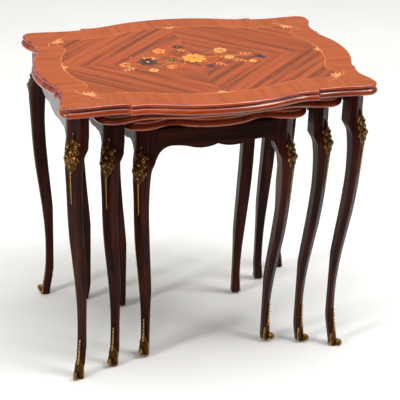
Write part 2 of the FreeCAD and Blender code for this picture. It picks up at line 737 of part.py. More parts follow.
def outline_sketch(body, name, role, corners, arcs):
    """A closed outline: straight runs, or arcs that swell by the amounts in arcs."""
    sketch = new_sketch(body, name, role)
    count = len(corners)
    for i in range(count):
        x1, y1 = (float(c) for c in corners[i])
        x2, y2 = (float(c) for c in corners[(i + 1) % count])
        if i in arcs:
            swell = float(arcs[i])
            length = math.hypot(x2 - x1, y2 - y1)
            middle = V((x1 + x2) / 2 + (y2 - y1) / length * swell,
                       (y1 + y2) / 2 - (x2 - x1) / length * swell, 0)
            sketch.addGeometry(Part.Arc(V(x1, y1, 0), middle, V(x2, y2, 0)), False)
        else:
            sketch.addGeometry(Part.LineSegment(V(x1, y1, 0), V(x2, y2, 0)), False)
    for i in range(count):
        start = start_end(sketch, i, corners[i])
        pin_vertex(sketch, i, start, *corners[i])
        pin_vertex(sketch, i, 3 - start, *corners[(i + 1) % count])
        if i in arcs:
            (x1, y1), (x2, y2) = corners[i], corners[(i + 1) % count]
            swell = dim(abs(float(arcs[i]))) if not isinstance(arcs[i], Dim) else arcs[i]
            across = dim(x2) - x1
            up = dim(y2) - y1
            radius = (across * across + up * up) / (swell * 8) + swell / 2
            index = sketch.addConstraint(Sketcher.Constraint("Radius", i, abs(radius.value)))
            sketch.setExpression("Constraints[%d]" % index, "abs(%s)" % radius.text)
    return sketch


def start_end(sketch, edge, corner):
    """Which end of an edge (1 or 2) lies at its first corner."""
    point = sketch.getPoint(edge, 1)
    near = math.hypot(point.x - float(corner[0]), point.y - float(corner[1])) < 0.01
    return 1 if near else 2


def make_apron(table, label, role, half_length, rise, turn_y):
    """An apron with bracketed ends and a waved lower edge, and its two tenons.

    The body's own frame has the middle of the underside of the top as its origin.
    """
    name = "%s_%s" % (table.name, label)
    end = size("block_depth") * BRACKET_DEPTH
    crest = size("apron_crest") - rise
    dip = size("apron_dip") - rise
    cusp = size("apron_cusp") - rise
    bracket = half_length - size("bracket_width")
    turn = half_length * size("wave_share")
    corners = [(half_length, dim(0)), (-half_length, dim(0)), (-half_length, -end),
               (-bracket, -crest), (-turn, -dip), (dim(0), -cusp), (turn, -dip),
               (bracket, -crest), (half_length, -end)]
    bulge = size("wave_bulge")
    hollow = -size("bracket_width") * BRACKET_HOLLOW
    sag = dim(-CREST_SAG)
    arcs = {2: hollow, 3: sag, 4: bulge, 5: bulge, 6: sag, 7: hollow}
    body = doc.addObject("PartDesign::Body", name + "_body")
    sketch = outline_sketch(body, name + "_outline", role, corners, arcs)
    pad = body.newObject("PartDesign::Pad", name + "_pad")
    pad.Profile = sketch
    pad.setExpression("Length", "sizes.apron_thickness")
    pad.Reversed = turn_y
    return body


def make_aprons(table):
    """Side and back aprons, and a front apron on the small table only."""
    name = table.name
    tenon_z = tenon_bottom(table)
    tenon = size("tenon_length")
    tall = size("tenon_height")
    thin = size("tenon_thickness")
    side = make_apron(table, "side", "YZ_Plane", table.inner_y, dim(0), False)
    place(side, table.apron_inner(table.leg_x), 0, table.under_z)
    near = tenon_near(table.leg_x)
    side_tenons = [box(name + "_side_tenon_back", thin, tenon, tall, near, table.inner_y, tenon_z),
                   box(name + "_side_tenon_front", thin, tenon, tall, near,
                       -table.inner_y - tenon, tenon_z)]
    right = fused(name + "_side_whole", [side] + side_tenons)
    node(table, "side_apron_right", [right])
    node(table, "side_apron_left", [mirrored(name + "_side_left", right, V(1, 0, 0))])

    ends = [("back", dim(0))]
    if table is SMALL:
        ends.append(("front", size("front_rise")))
    near = tenon_near(table.leg_y)
    for label, rise in ends:
        body = make_apron(table, label, "XZ_Plane", table.inner_x, rise, True)
        place(body, 0, table.apron_inner(table.leg_y), table.under_z)
        tenons = [box("%s_%s_tenon_right" % (name, label), tenon, thin, tall, table.inner_x,
                      near, tenon_z),
                  box("%s_%s_tenon_left" % (name, label), tenon, thin, tall,
                      -table.inner_x - tenon, near, tenon_z)]
        whole = fused("%s_%s_whole" % (name, label), [body] + tenons)
        if label == "front":
            whole = mirrored(name + "_front_turned", whole, V(0, 1, 0))
        node(table, label + "_apron", [whole])


def make_runners(table, guest, bearing):
    """L-shaped runners on the side aprons; the guest's top hangs on their ledges.

    The ledges reach in under the guest's top by the bearing, on the side where it is less.
    """
    name = table.name
    shift = guest.centre_x - table.centre_x
    reach = table.apron_inner(table.leg_x) - (guest.half_x - shift - bearing)
    ledge = size("runner_thickness")
    back = size("runner_back")
    ledge_top = guest.under_z - size("runner_room")
    upright_top = table.under_z
    length = table.inner_y * 2 - size("runner_start")
    body = doc.addObject("PartDesign::Body", name + "_runner_body")
    wall = table.apron_inner(table.leg_x)
    corners = [(dim(0), dim(0)), (dim(0), upright_top - ledge_top + ledge),
               (-back, upright_top - ledge_top + ledge), (-back, ledge), (-reach, ledge),
               (-reach, dim(0))]
    sketch = outline_sketch(body, name + "_runner_outline", "XZ_Plane", corners, {})
    pad = body.newObject("PartDesign::Pad", name + "_runner_pad")
    pad.Profile = sketch
    pad.setExpression("Length", length.text)
    pad.Reversed = True
    doc.recompute()
    lead = body.newObject("PartDesign::Chamfer", name + "_runner_lead")
    lead.Base = (pad, lead_edges(pad.Shape, float(reach), float(ledge)))
    lead.Size = float(ledge) * LEAD_SHARE
    body.Tip = lead
    place(body, wall, size("runner_start") - table.inner_y, ledge_top - ledge)
    node(table, "runner_right", [body])
    node(table, "runner_left", [mirrored(name + "_runner_left_solid", body, V(1, 0, 0))])


def lead_edges(shape, reach, ledge):
    """Names of the ledge's front edges, which lead the guest's top on."""
    names = []
    for number, edge in enumerate(shape.Edges, start=1):
        middle = edge.CenterOfMass
        at_front = abs(middle.y) < 0.01
        on_ledge = abs(middle.z - ledge) < 0.01 and middle.x < 0
        if at_front and on_ledge and abs(middle.x) > reach / 2:
            names.append("Edge%d" % number)
    return names


def make_blocks(table):
    """Four glued corner blocks between the side aprons and the legs, bored for the screws."""
    name = table.name
    wall = table.apron_inner(table.leg_x)
    wide = wall - table.inner_x - size("glue_block_room")
    back = 0 if table is SMALL else size("runner_back")
    wide = wide - back
    block = box(name + "_block", wide, size("glue_block"), size("glue_block_height"),
                table.inner_x + size("glue_block_room"),
                table.inner_y - size("glue_block"), table.under_z - size("glue_block_height"))
    bored = cut(name + "_block_bored", block, make_screw_hole(table, "block"))
    node(table, "corner_blocks", list(four_corners(name + "_block_at", bored).values()))


def screw_place(table):
    """Middle of the screw in the back right corner block."""
    wall = table.apron_inner(table.leg_x)
    back = 0 if table is SMALL else size("runner_back")
    x = (wall - back + table.inner_x + size("glue_block_room")) / 2
    y = table.inner_y - size("glue_block") / 2
    return x, y


def make_screw_hole(table, label):
    """Clearance hole for a screw, with room for its sunk head."""
    x, y = screw_place(table)
    bottom = table.under_z - size("glue_block_height")
    hole = add("Part::Cylinder", "%s_%s_screw_hole" % (table.name, label),
               Radius=size("screw_radius") + size("joint_room"),
               Height=size("glue_block_height") + size("screw_bite") + 0.5)
    place(hole, x, y, bottom)
    sink = add("Part::Cone", "%s_%s_screw_sink" % (table.name, label),
               Radius1=size("screw_radius") * 2 + size("joint_room"),
               Radius2=size("screw_radius") + size("joint_room"), Height=size("screw_radius"))
    place(sink, x, y, bottom)
    return fused("%s_%s_screw_room" % (table.name, label), [hole, sink])


def make_screws(table):
    """The four screws that hold the top, and the holes that they need in the board."""
    x, y = screw_place(table)
    bottom = table.under_z - size("glue_block_height")
    shank = add("Part::Cylinder", table.name + "_screw_shank", Radius=size("screw_radius"),
                Height=size("glue_block_height") + size("screw_bite"))
    place(shank, x, y, bottom)
    head = add("Part::Cone", table.name + "_screw_head", Radius1=size("screw_radius") * 2,
               Radius2=size("screw_radius"), Height=size("screw_radius"))
    place(head, x, y, bottom)
    screw = fused(table.name + "_screw", [shank, head])
    node(table, "top_screws", list(four_corners(table.name + "_screw_at", screw).values()))
    hole = make_screw_hole(table, "board")
    holes = list(four_corners(table.name + "_board_hole_at", hole).values())
    return fused(table.name + "_board_holes", holes)


# ---------------------------------------------------------------- the nest

for table in (LARGE, MIDDLE, SMALL):
    make_top(table)
    make_legs(table)
    make_aprons(table)
    make_blocks(table)
make_runners(LARGE, MIDDLE, size("middle_bearing"))
make_runners(MIDDLE, SMALL, size("small_bearing"))

doc.recompute()

failed = [item.Name for item in doc.Objects if "Invalid" in item.State or "Error" in item.State]
if failed:
    raise SystemExit("these objects failed: %s" % ", ".join(failed))
for item in nodes:
    if item.Shape.isNull() or not item.Shape.isValid() or not item.Shape.Solids:
        raise SystemExit("%s has no valid solid" % item.Label)

os.makedirs("parts", exist_ok=True)
for item in nodes:
    item.Shape.exportStep("parts/%s.step" % item.Label)
print("wrote %d sub-parts" % len(nodes))
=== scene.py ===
"""A nest of three inlaid tables on bowed legs with cast brass mounts.

Each table is one class that owns its moulding, legs, mounts and inlay. Lengths are in
millimetres until a mesh is made. The plan of a top, the bow of a leg and the shape of each
casting are formulas over whole arrays of points.
"""
import logging
import math
from dataclasses import dataclass
from enum import Enum
from typing import Optional, Sequence, Union

import bpy
import numpy as np
from mathutils import Matrix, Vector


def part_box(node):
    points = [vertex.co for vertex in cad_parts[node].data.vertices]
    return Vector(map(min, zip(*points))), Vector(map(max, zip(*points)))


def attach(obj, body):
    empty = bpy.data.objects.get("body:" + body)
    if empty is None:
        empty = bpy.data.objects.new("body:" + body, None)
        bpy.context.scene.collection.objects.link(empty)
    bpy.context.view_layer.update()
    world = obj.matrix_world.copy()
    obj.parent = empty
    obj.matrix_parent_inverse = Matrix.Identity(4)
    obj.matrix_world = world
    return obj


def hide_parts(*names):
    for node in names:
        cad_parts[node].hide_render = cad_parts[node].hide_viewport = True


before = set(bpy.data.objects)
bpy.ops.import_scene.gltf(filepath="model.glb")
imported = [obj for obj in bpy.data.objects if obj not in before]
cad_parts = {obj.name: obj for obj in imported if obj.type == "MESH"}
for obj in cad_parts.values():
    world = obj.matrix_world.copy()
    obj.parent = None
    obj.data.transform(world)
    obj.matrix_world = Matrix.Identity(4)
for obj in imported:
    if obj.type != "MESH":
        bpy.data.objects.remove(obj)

log = logging.getLogger("nest")
MM = 0.001
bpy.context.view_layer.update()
Socket = bpy.types.NodeSocket
Feed = Union[float, Sequence[float], Socket]


# ---- shells of points

@dataclass
class Shell:
    """Points in millimetres and the faces between them, with one tint for each point."""

    points: np.ndarray
    faces: list
    tint: Optional[np.ndarray] = None

    def tinted(self, colour: Sequence[float]) -> "Shell":
        """The same shell in one colour."""
        self.tint = np.tile(np.array([*colour, 1.0]), (len(self.points), 1))
        return self


def ring_faces(rows: int, columns: int) -> np.ndarray:
    """Quads of a grid whose columns close on themselves.

    Args:
        rows: how many rings of points there are.
        columns: how many points each ring has.

    Returns:
        One row of four point numbers for each face.
    """
    row = np.arange(rows - 1)[:, None] * columns
    here = np.arange(columns)[None, :]
    after = (here + 1) % columns
    quads = np.stack([row + here, row + after, row + columns + after, row + columns + here], -1)
    return quads.reshape(-1, 4)


def tube(rings: np.ndarray, closed: bool = False) -> Shell:
    """A skin over a run of rings, ended by a point in the middle of each end ring.

    Args:
        rings: points as (ring, place round the ring, 3).
        closed: whether the last ring meets the first one again.

    Returns:
        A watertight shell.
    """
    count, around = rings.shape[:2]
    points = rings.reshape(-1, 3)
    if closed:
        faces = ring_faces(count + 1, around) % (count * around)
        return outward(Shell(points, faces.tolist()))
    quads = ring_faces(count, around)
    first, last = len(points), len(points) + 1
    points = np.vstack([points, rings[0].mean(0), rings[-1].mean(0)])
    here = np.arange(around)
    after = (here + 1) % around
    low = np.stack([after, here, np.full(around, first)], -1)
    base = (count - 1) * around
    high = np.stack([base + here, base + after, np.full(around, last)], -1)
    return outward(Shell(points, quads.tolist() + low.tolist() + high.tolist()))


def outward(shell: Shell) -> Shell:
    """Turns a watertight shell's faces so that it holds a positive volume.

    Args:
        shell: the shell to turn.

    Returns:
        The same shell.
    """
    corners = np.array([(f[0], f[1], f[2]) for f in shell.faces]
                       + [(f[0], f[2], f[3]) for f in shell.faces if len(f) == 4])
    a, b, c = (shell.points[corners[:, k]] for k in range(3))
    if np.einsum("ij,ij->i", a, np.cross(b, c)).sum() < 0:
        shell.faces = [face[::-1] for face in shell.faces]
    return shell


def joined(shells: Sequence[Shell]) -> Shell:
    """Several shells as one, each keeping its own tint.

    Args:
        shells: shells that are all tinted, or all untinted.

    Returns:
        One shell.
    """
    starts = np.cumsum([0] + [len(s.points) for s in shells[:-1]])
    faces = [[k + int(start) for k in face]
             for shell, start in zip(shells, starts) for face in shell.faces]
    tint = None if shells[0].tint is None else np.vstack([s.tint for s in shells])
    return Shell(np.vstack([s.points for s in shells]), faces, tint)


def mirrored(shell: Shell, sx: float, sy: float) -> Shell:
    """The shell on the corner whose signs are given, still facing outwards."""
    faces = shell.faces if sx * sy > 0 else [face[::-1] for face in shell.faces]
    return Shell(shell.points * np.array([sx, sy, 1.0]), faces, shell.tint)


def moved(shell: Shell, x: float, y: float) -> Shell:
    """The shell carried to another place."""
    return Shell(shell.points + np.array([x, y, 0.0]), shell.faces, shell.tint)


def smooth_run(stations: np.ndarray, at: np.ndarray) -> np.ndarray:
    """Values between stations on a smooth curve (a cubic whose slopes are central differences).

    Args:
        stations: rows of (place, value, value, ...) in rising order of place.
        at: the places wanted.

    Returns:
        One row of values for each place.
    """
    x, y = stations[:, 0], stations[:, 1:]
    slope = np.gradient(y, x, axis=0)
    k = np.clip(np.searchsorted(x, at, side="right") - 1, 0, len(x) - 2)
    h = (x[k + 1] - x[k])[:, None]
    t = np.clip((at - x[k])[:, None] / h, 0, 1)
    return ((1 + 2 * t) * (1 - t) ** 2 * y[k] + t * (1 - t) ** 2 * h * slope[k]
            + t ** 2 * (3 - 2 * t) * y[k + 1] + t ** 2 * (t - 1) * h * slope[k + 1])


def swept(path: np.ndarray, radius: np.ndarray, flat: float = 1.0, around: int = 10,
          side: Sequence[float] = (0.0, 0.0, 1.0)) -> Shell:
    """A round rod along a path: each ring is a circle square to the path, squashed by flat.

    Args:
        path: the middle line, as rows of points.
        radius: the rod's radius at each point.
        flat: its height over its width.
        around: points round the rod.
        side: a direction that the path never follows.

    Returns:
        A watertight rod with pointed-over ends.
    """
    run = np.gradient(path, axis=0)
    run /= np.linalg.norm(run, axis=1, keepdims=True)
    wide = np.cross(np.array(side, float), run)
    wide /= np.linalg.norm(wide, axis=1, keepdims=True)
    high = np.cross(run, wide)
    angle = np.linspace(0, 2 * math.pi, around, endpoint=False)
    ring = (np.cos(angle)[None, :, None] * high[:, None, :] * flat
            + np.sin(angle)[None, :, None] * wide[:, None, :])
    return tube(path[:, None, :] + ring * radius[:, None, None])


def bead(centre: np.ndarray, radius: float, rows: int = 6, around: int = 8) -> Shell:
    """A small ball of rings between two poles.

    Args:
        centre: the middle of the ball.
        radius: its radius.
        rows: spaces from pole to pole.
        around: points round each ring.

    Returns:
        A watertight ball.
    """
    lat = np.linspace(0, math.pi, rows + 1)[1:-1]
    lon = np.linspace(0, 2 * math.pi, around, endpoint=False)
    rings = np.stack([np.sin(lat)[:, None] * np.cos(lon), np.sin(lat)[:, None] * np.sin(lon),
                      np.repeat(np.cos(lat)[:, None], around, 1)], -1)
    shell = tube(rings * radius)
    shell.points[-2:] = (0, 0, radius), (0, 0, -radius)
    return Shell(shell.points + centre, shell.faces)


def linked(name: str, data: bpy.types.ID) -> bpy.types.Object:
    """A new object of the scene that holds the data."""
    piece = bpy.data.objects.new(name, data)
    bpy.context.scene.collection.objects.link(piece)
    return piece


def built(name: str, shell: Shell, finish: bpy.types.Material, body: str,
          replaced: Sequence[str] = ()) -> None:
    """Makes the shell an object that rides on a table and stands for its CAD nodes.

    Args:
        name: the piece's name.
        shell: its points, in millimetres, where it stands.
        finish: its material.
        body: the moving body it rides on.
        replaced: the CAD nodes that it stands for.
    """
    mesh = bpy.data.meshes.new(name)
    mesh.from_pydata((shell.points * MM).tolist(), [], shell.faces)
    mesh.polygons.foreach_set("use_smooth", np.ones(len(mesh.polygons), bool))
    if shell.tint is not None:
        layer = mesh.attributes.new("tint", "FLOAT_COLOR", "POINT")
        layer.data.foreach_set("color", shell.tint.astype(np.float32).ravel())
    mesh.materials.append(finish)
    mesh.update()
    piece = linked(name, mesh)
    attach(piece, body)
    if replaced:
        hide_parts(*replaced)
    log.info("%s: %d faces", name, len(mesh.polygons))


# ---- finishes

def srgb(red: int, green: int, blue: int) -> tuple:
    """A paint-chart colour as the linear colour that a shader takes."""
    return (*(((v / 255 + 0.055) / 1.055) ** 2.4 if v > 10 else v / 255 / 12.92
              for v in (red, green, blue)), 1.0)


class Figure(Enum):
    """How the grain of a finish lies."""

    ALONG_X = "along x"
    ALONG_Y = "along y"
    UPRIGHT = "upright"
    DIAMOND = "diamond"
    ACROSS_EDGE = "across the edge"


class Nodes:
    """Short words for building one node tree."""

    def __init__(self, tree: bpy.types.NodeTree) -> None:
        """Takes the tree to fill."""
        self.tree = tree

    def feed(self, node: bpy.types.Node, **inputs: Feed) -> None:
        """Sets or links inputs of a node.

        Args:
            node: the node to feed.
            inputs: values or output sockets, named by socket with spaces as underscores, or
                by the letter i and the socket's number.
        """
        for key, value in inputs.items():
            socket = node.inputs[int(key[1:]) if key[1:].isdigit() else key.replace("_", " ")]
            if isinstance(value, Socket):
                self.tree.links.new(value, socket)
            else:
                socket.default_value = value

    def add(self, kind: str, settings: Optional[dict] = None, **inputs: Feed) -> bpy.types.Node:
        """A node with its settings and inputs.

        Args:
            kind: the node's type without its "ShaderNode" prefix.
            settings: properties of the node.
            inputs: as for feed.

        Returns:
            The node.
        """
        node = self.tree.nodes.new("ShaderNode" + kind)
        for key, value in (settings or {}).items():
            setattr(node, key, value)
        self.feed(node, **inputs)
        return node

    def place(self) -> Socket:
        """The point being shaded, in the object's own coordinates."""
        return self.add("TexCoord").outputs["Object"]

    def math(self, operation: str, first: Feed, second: Feed = 0.0) -> Socket:
        """The output of one arithmetic node."""
        return self.add("Math", {"operation": operation}, i0=first, i1=second).outputs[0]

    def stretched(self, point: Socket, by: Sequence[float]) -> Socket:
        """A point with each coordinate multiplied."""
        return self.add("VectorMath", {"operation": "MULTIPLY"}, i0=point, i1=by).outputs[0]

    def laid(self, x: Socket, x_scale: float, y: Socket, y_scale: float, z: Socket) -> Socket:
        """A point of two values that are scaled and a third that isn't."""
        return self.add("CombineXYZ", None, X=self.math("MULTIPLY", x, x_scale),
                        Y=self.math("MULTIPLY", y, y_scale), Z=z).outputs[0]

    def noise(self, point: Socket, scale: float, detail: float, **more: float) -> Socket:
        """The value of a noise pattern at a point."""
        return self.add("TexNoise", None, Vector=point, Scale=scale, Detail=detail,
                        **more).outputs[0]

    def spread(self, value: Socket, source: tuple = (0.0, 1.0),
               target: tuple = (0.0, 1.0)) -> Socket:
        """A value carried from one range to another."""
        return self.add("MapRange", None, Value=value, From_Min=source[0], From_Max=source[1],
                        To_Min=target[0], To_Max=target[1]).outputs[0]

    def mixed(self, factor: Feed, first: Feed, second: Feed) -> Socket:
        """The output of one colour mix."""
        return self.add("Mix", {"data_type": "RGBA"}, Factor=factor, i6=first,
                        i7=second).outputs[2]

    def ramp(self, factor: Socket, stops: Sequence[tuple]) -> Socket:
        """Colours between stops.

        Args:
            factor: the value to look up.
            stops: (place, colour) of each stop.

        Returns:
            The colour output.
        """
        node = self.add("ValToRGB", None, Fac=factor)
        elements = node.color_ramp.elements
        while len(elements) < len(stops):
            elements.new(0.5)
        for element, (place, colour) in zip(elements, stops):
            element.position = place
            element.color = colour
        return node.outputs["Color"]


def new_group(name: str, takes: Sequence[str], gives: Sequence[str]) -> tuple:
    """An empty node group with its sockets, and its input and output nodes.

    Args:
        name: the group's name.
        takes: the vectors that it takes.
        gives: the values that it gives.

    Returns:
        The group's Nodes, its input node and its output node.
    """
    tree = bpy.data.node_groups.new(name, "ShaderNodeTree")
    for label in takes:
        tree.interface.new_socket(label, in_out="INPUT", socket_type="NodeSocketVector")
    for label in gives:
        tree.interface.new_socket(label, in_out="OUTPUT", socket_type="NodeSocketFloat")
    return Nodes(tree), tree.nodes.new("NodeGroupInput"), tree.nodes.new("NodeGroupOutput")


def grain_group() -> bpy.types.NodeTree:
    """Timber figure from a stretched point: broad stripes, fine fibres and short dark pores.

    Returns:
        The group's tree.
    """
    nodes, taken, given = new_group("timber_grain", ["Point"], ["Stripe", "Fibre", "Pore"])
    point = taken.outputs["Point"]
    stripe = nodes.noise(point, 1.0, 3.0, Roughness=0.55, Distortion=0.25)
    fibre = nodes.noise(point, 9.0, 4.0, Roughness=0.7)
    speck = nodes.noise(point, 26.0, 1.0)
    nodes.feed(given, Stripe=stripe, Fibre=fibre, Pore=nodes.spread(speck, (0.58, 0.72)))
    return nodes.tree


def wear_and_sheen_group() -> bpy.types.NodeTree:
    """Bright on outer arrises, dark in hollows: the arrises take painted highlight along with
    rubbed wear, the hollows take patina.

    Returns:
        The group's tree.
    """
    nodes, _, given = new_group("edge_wear_and_sheen", [], ["Arris", "Hollow"])
    point = nodes.add("NewGeometry").outputs["Pointiness"]
    nodes.feed(given, Arris=nodes.spread(point, (0.52, 0.60)),
               Hollow=nodes.spread(point, (0.50, 0.40)))
    return nodes.tree


def new_material(name: str) -> tuple:
    """An empty material, the Nodes of its tree and its shader."""
    made = bpy.data.materials.new(name)
    made.use_nodes = True
    return made, Nodes(made.node_tree), made.node_tree.nodes["Principled BSDF"]


GRAIN = grain_group()
WEAR_AND_SHEEN = wear_and_sheen_group()
FIBRE_TONE, PORE_TONE = 0.35, 0.35
TIMBER_STOPS, METAL_STOPS = (0.36, 0.50, 0.66), (0.22, 0.46, 0.80)
LEAF_SHIFT = 0.35
POLISH_ROUGHNESS, POLISH_IOR = 0.07, 1.5


@dataclass(frozen=True)
class Timber:
    """A stained and polished timber: three tones, how the grain lies and how it shines."""

    name: str
    dark: tuple
    middle: tuple
    light: tuple
    figure: Figure
    stripe: float = 90.0
    stretch: float = 14.0
    roughness: float = 0.32
    gloss: float = 0.5
    shine: float = 0.4
    arris_wear_sheen: tuple = (0.0, 0.0, 0.0, 1.0)
    wear_and_sheen: float = 0.0

    def material(self, table: Optional["TableFrame"] = None) -> bpy.types.Material:
        """The finish as a material.

        Args:
            table: the table about whose middle the figure is laid out, if it is.

        Returns:
            The material.
        """
        name = self.name if table is None else f"{table.name}_{self.name}"
        made, nodes, shader = new_material(name)
        grain = nodes.add("Group", {"node_tree": GRAIN}, Point=self.point(nodes, table))
        stripe, fibre, pore = (grain.outputs[label] for label in ("Stripe", "Fibre", "Pore"))
        tone = nodes.add("Math", {"operation": "MULTIPLY_ADD"}, i0=fibre, i1=FIBRE_TONE,
                         i2=-FIBRE_TONE / 2).outputs[0]
        colour = nodes.ramp(nodes.math("ADD", tone, stripe),
                            list(zip(TIMBER_STOPS, (self.dark, self.middle, self.light))))
        colour = nodes.mixed(nodes.math("MULTIPLY", pore, PORE_TONE), colour, self.dark)
        # Painted highlight with rubbed wear: the colour is drawn towards the arris tint along outer
        # arrises.
        if self.wear_and_sheen:
            arris_wear_sheen = nodes.add("Group", {"node_tree": WEAR_AND_SHEEN}).outputs["Arris"]
            colour = nodes.mixed(nodes.math("MULTIPLY", arris_wear_sheen, self.wear_and_sheen), colour, self.arris_wear_sheen)
        rough = nodes.spread(fibre, target=(self.roughness - 0.06, self.roughness + 0.10))
        bump = nodes.add("Bump", None, Height=pore, Strength=0.05, Distance=0.0003)
        nodes.feed(shader, Base_Color=colour, Roughness=rough, Normal=bump.outputs[0],
                   Specular_IOR_Level=self.shine, Coat_Weight=self.gloss,
                   Coat_Roughness=POLISH_ROUGHNESS, Coat_IOR=POLISH_IOR)
        return made

    def point(self, nodes: Nodes, table: Optional["TableFrame"]) -> Socket:
        """The point that the grain is read at: quick across the grain and slow along it.

        Args:
            nodes: the material's nodes.
            table: the table that a laid-out figure is centred on.

        Returns:
            The point, as an output.
        """
        fine, long = self.stripe, self.stripe / self.stretch
        stretch = {Figure.ALONG_X: (long, fine, fine), Figure.ALONG_Y: (fine, long, fine),
                   Figure.UPRIGHT: (fine, fine, long)}.get(self.figure)
        if stretch:
            return nodes.stretched(nodes.place(), stretch)
        apart = nodes.add("SeparateXYZ", None, Vector=nodes.place())
        x = nodes.math("SUBTRACT", apart.outputs[0], table.centre_x * MM)
        y = nodes.math("SUBTRACT", apart.outputs[1], table.centre_y * MM)
        ax, ay = nodes.math("ABSOLUTE", x), nodes.math("ABSOLUTE", y)
        across, along = nodes.math("ADD", ax, ay), nodes.math("SUBTRACT", ax, ay)
        leaf = nodes.math("ADD", nodes.math("SIGN", x),
                          nodes.math("MULTIPLY", nodes.math("SIGN", y), LEAF_SHIFT))
        if self.figure is Figure.DIAMOND:
            return nodes.laid(across, fine, along, long, leaf)
        mitre = nodes.math("GREATER_THAN", along, (table.half_x - table.half_y) * MM)
        return nodes.add("Mix", {"data_type": "VECTOR"}, Factor=mitre,
                         i4=nodes.laid(x, fine, y, long, leaf),
                         i5=nodes.laid(x, long, y, fine, leaf)).outputs[1]


@dataclass(frozen=True)
class Metal:
    """A metal with a dark patina in its hollows, and rubbed high places that also carry painted
    highlights.
    """

    name: str
    rubbed_and_sheen: tuple
    body: tuple
    patina: tuple
    roughness: float

    def material(self) -> bpy.types.Material:
        """The finish: noise blotches, brighter on arrises (rubbed wear with painted highlight) and
        darker in hollows (patina).

        Returns:
            The material.
        """
        made, nodes, shader = new_material(self.name)
        blotch = nodes.noise(nodes.place(), 260.0, 5.0, Roughness=0.65)
        wear_and_sheen = nodes.add("Group", {"node_tree": WEAR_AND_SHEEN})
        # Towards the rubbed tint on blotches and arrises: rubbed wear with painted highlights; away
        # from it in hollows: patina.
        tone = nodes.math("ADD", nodes.math("MULTIPLY", blotch, 0.8),
                          nodes.math("MULTIPLY", wear_and_sheen.outputs["Arris"], 0.45))
        tone = nodes.math("SUBTRACT", tone, nodes.math("MULTIPLY", wear_and_sheen.outputs["Hollow"], 0.5))
        colour = nodes.ramp(tone, list(zip(METAL_STOPS, (self.patina, self.body, self.rubbed_and_sheen))))
        rough = nodes.spread(tone, (0.2, 0.8), (self.roughness + 0.2, self.roughness))
        bump = nodes.add("Bump", None, Height=blotch, Strength=0.25, Distance=0.0004)
        nodes.feed(shader, Base_Color=colour, Metallic=1.0, Roughness=rough,
                   Normal=bump.outputs[0])
        return made


def inlay_material() -> bpy.types.Material:
    """Cut and shaded inlay woods: each piece has its own tint, with fine fibres in it.

    Returns:
        The material.
    """
    made, nodes, shader = new_material("inlay_woods")
    tint = nodes.add("Attribute", {"attribute_name": "tint"}).outputs["Color"]
    fibre = nodes.noise(nodes.stretched(nodes.place(), (300.0, 1300.0, 300.0)), 1.0, 3.0)
    shade = nodes.spread(fibre, target=(0.72, 1.25))
    colour = nodes.add("VectorMath", {"operation": "SCALE"}, i0=tint, Scale=shade).outputs[0]
    nodes.feed(shader, Base_Color=colour, Roughness=0.42, Specular_IOR_Level=0.2)
    return made


# The arris tints of the frame and the moulding paint highlights along their arrises, together with
# rubbed wear.
FRAME_WOOD = Timber("frame_wood", srgb(30, 11, 7), srgb(48, 18, 11), srgb(70, 27, 15),
                    Figure.UPRIGHT, stretch=24.0, gloss=0.03, shine=0.07,
                    arris_wear_sheen=srgb(120, 52, 28), wear_and_sheen=0.3)
RAIL_WOOD = Timber("rail_wood", srgb(30, 12, 8), srgb(46, 19, 13), srgb(66, 27, 17),
                   Figure.ALONG_X, stretch=24.0, gloss=0.03, shine=0.07)
SIDE_RAIL_WOOD = Timber("side_rail_wood", RAIL_WOOD.dark, RAIL_WOOD.middle, RAIL_WOOD.light,
                        Figure.ALONG_Y, roughness=0.36)
MOULDING_WOOD = Timber("moulding_wood", srgb(112, 36, 8), srgb(160, 56, 12), srgb(188, 74, 16),
                       Figure.ALONG_X, stripe=60.0, roughness=0.2, gloss=0.8,
                       arris_wear_sheen=srgb(205, 98, 40), wear_and_sheen=0.2)
FIELD_VENEER = Timber("field_veneer", srgb(112, 58, 34), srgb(154, 73, 40), srgb(168, 83, 47),
                      Figure.DIAMOND, stripe=62.0, stretch=22.0, roughness=0.42, gloss=0.03,
                      shine=0.15)
BORDER_VENEER = Timber("border_veneer", srgb(150, 74, 38), srgb(162, 80, 42), srgb(170, 86, 46),
                       Figure.ACROSS_EDGE, stripe=110.0, roughness=0.42, gloss=0.03, shine=0.15)
LINE_WOOD = Timber("line_wood", srgb(168, 92, 48), srgb(190, 108, 58), srgb(204, 124, 70),
                   Figure.ALONG_X, stripe=200.0, roughness=0.42, gloss=0.03, shine=0.15)
CORE_WOOD = Timber("core_wood", srgb(120, 86, 58), srgb(150, 112, 78), srgb(172, 134, 98),
                   Figure.ALONG_X, roughness=0.6, gloss=0.0)
RUNNER_WOOD = Timber("runner_wood", srgb(126, 88, 54), srgb(158, 116, 76), srgb(182, 140, 98),
                     Figure.ALONG_Y, roughness=0.55, gloss=0.0)
# The rubbed tint of each metal paints highlights on its high places, as well as rubbed wear.
BRASS = Metal("antique_brass", srgb(206, 158, 96), srgb(98, 64, 26), srgb(26, 16, 8), 0.26)
STEEL = Metal("screw_steel", srgb(176, 176, 172), srgb(128, 128, 126), srgb(70, 68, 64), 0.35)


# ---- the plan of a top

@dataclass(frozen=True)
class Side:
    """How far the parts of one side of a top stand in from its nose."""

    lobe: float
    waist: float
    waist_at: float
    bow_end: float = 0.0
    nub: float = 0.0
    nub_width: float = 0.0


@dataclass(frozen=True)
class Plan:
    """The plan of a top: the radius of its corners, and its front and side edges."""

    corner: float
    front: Side
    side: Side


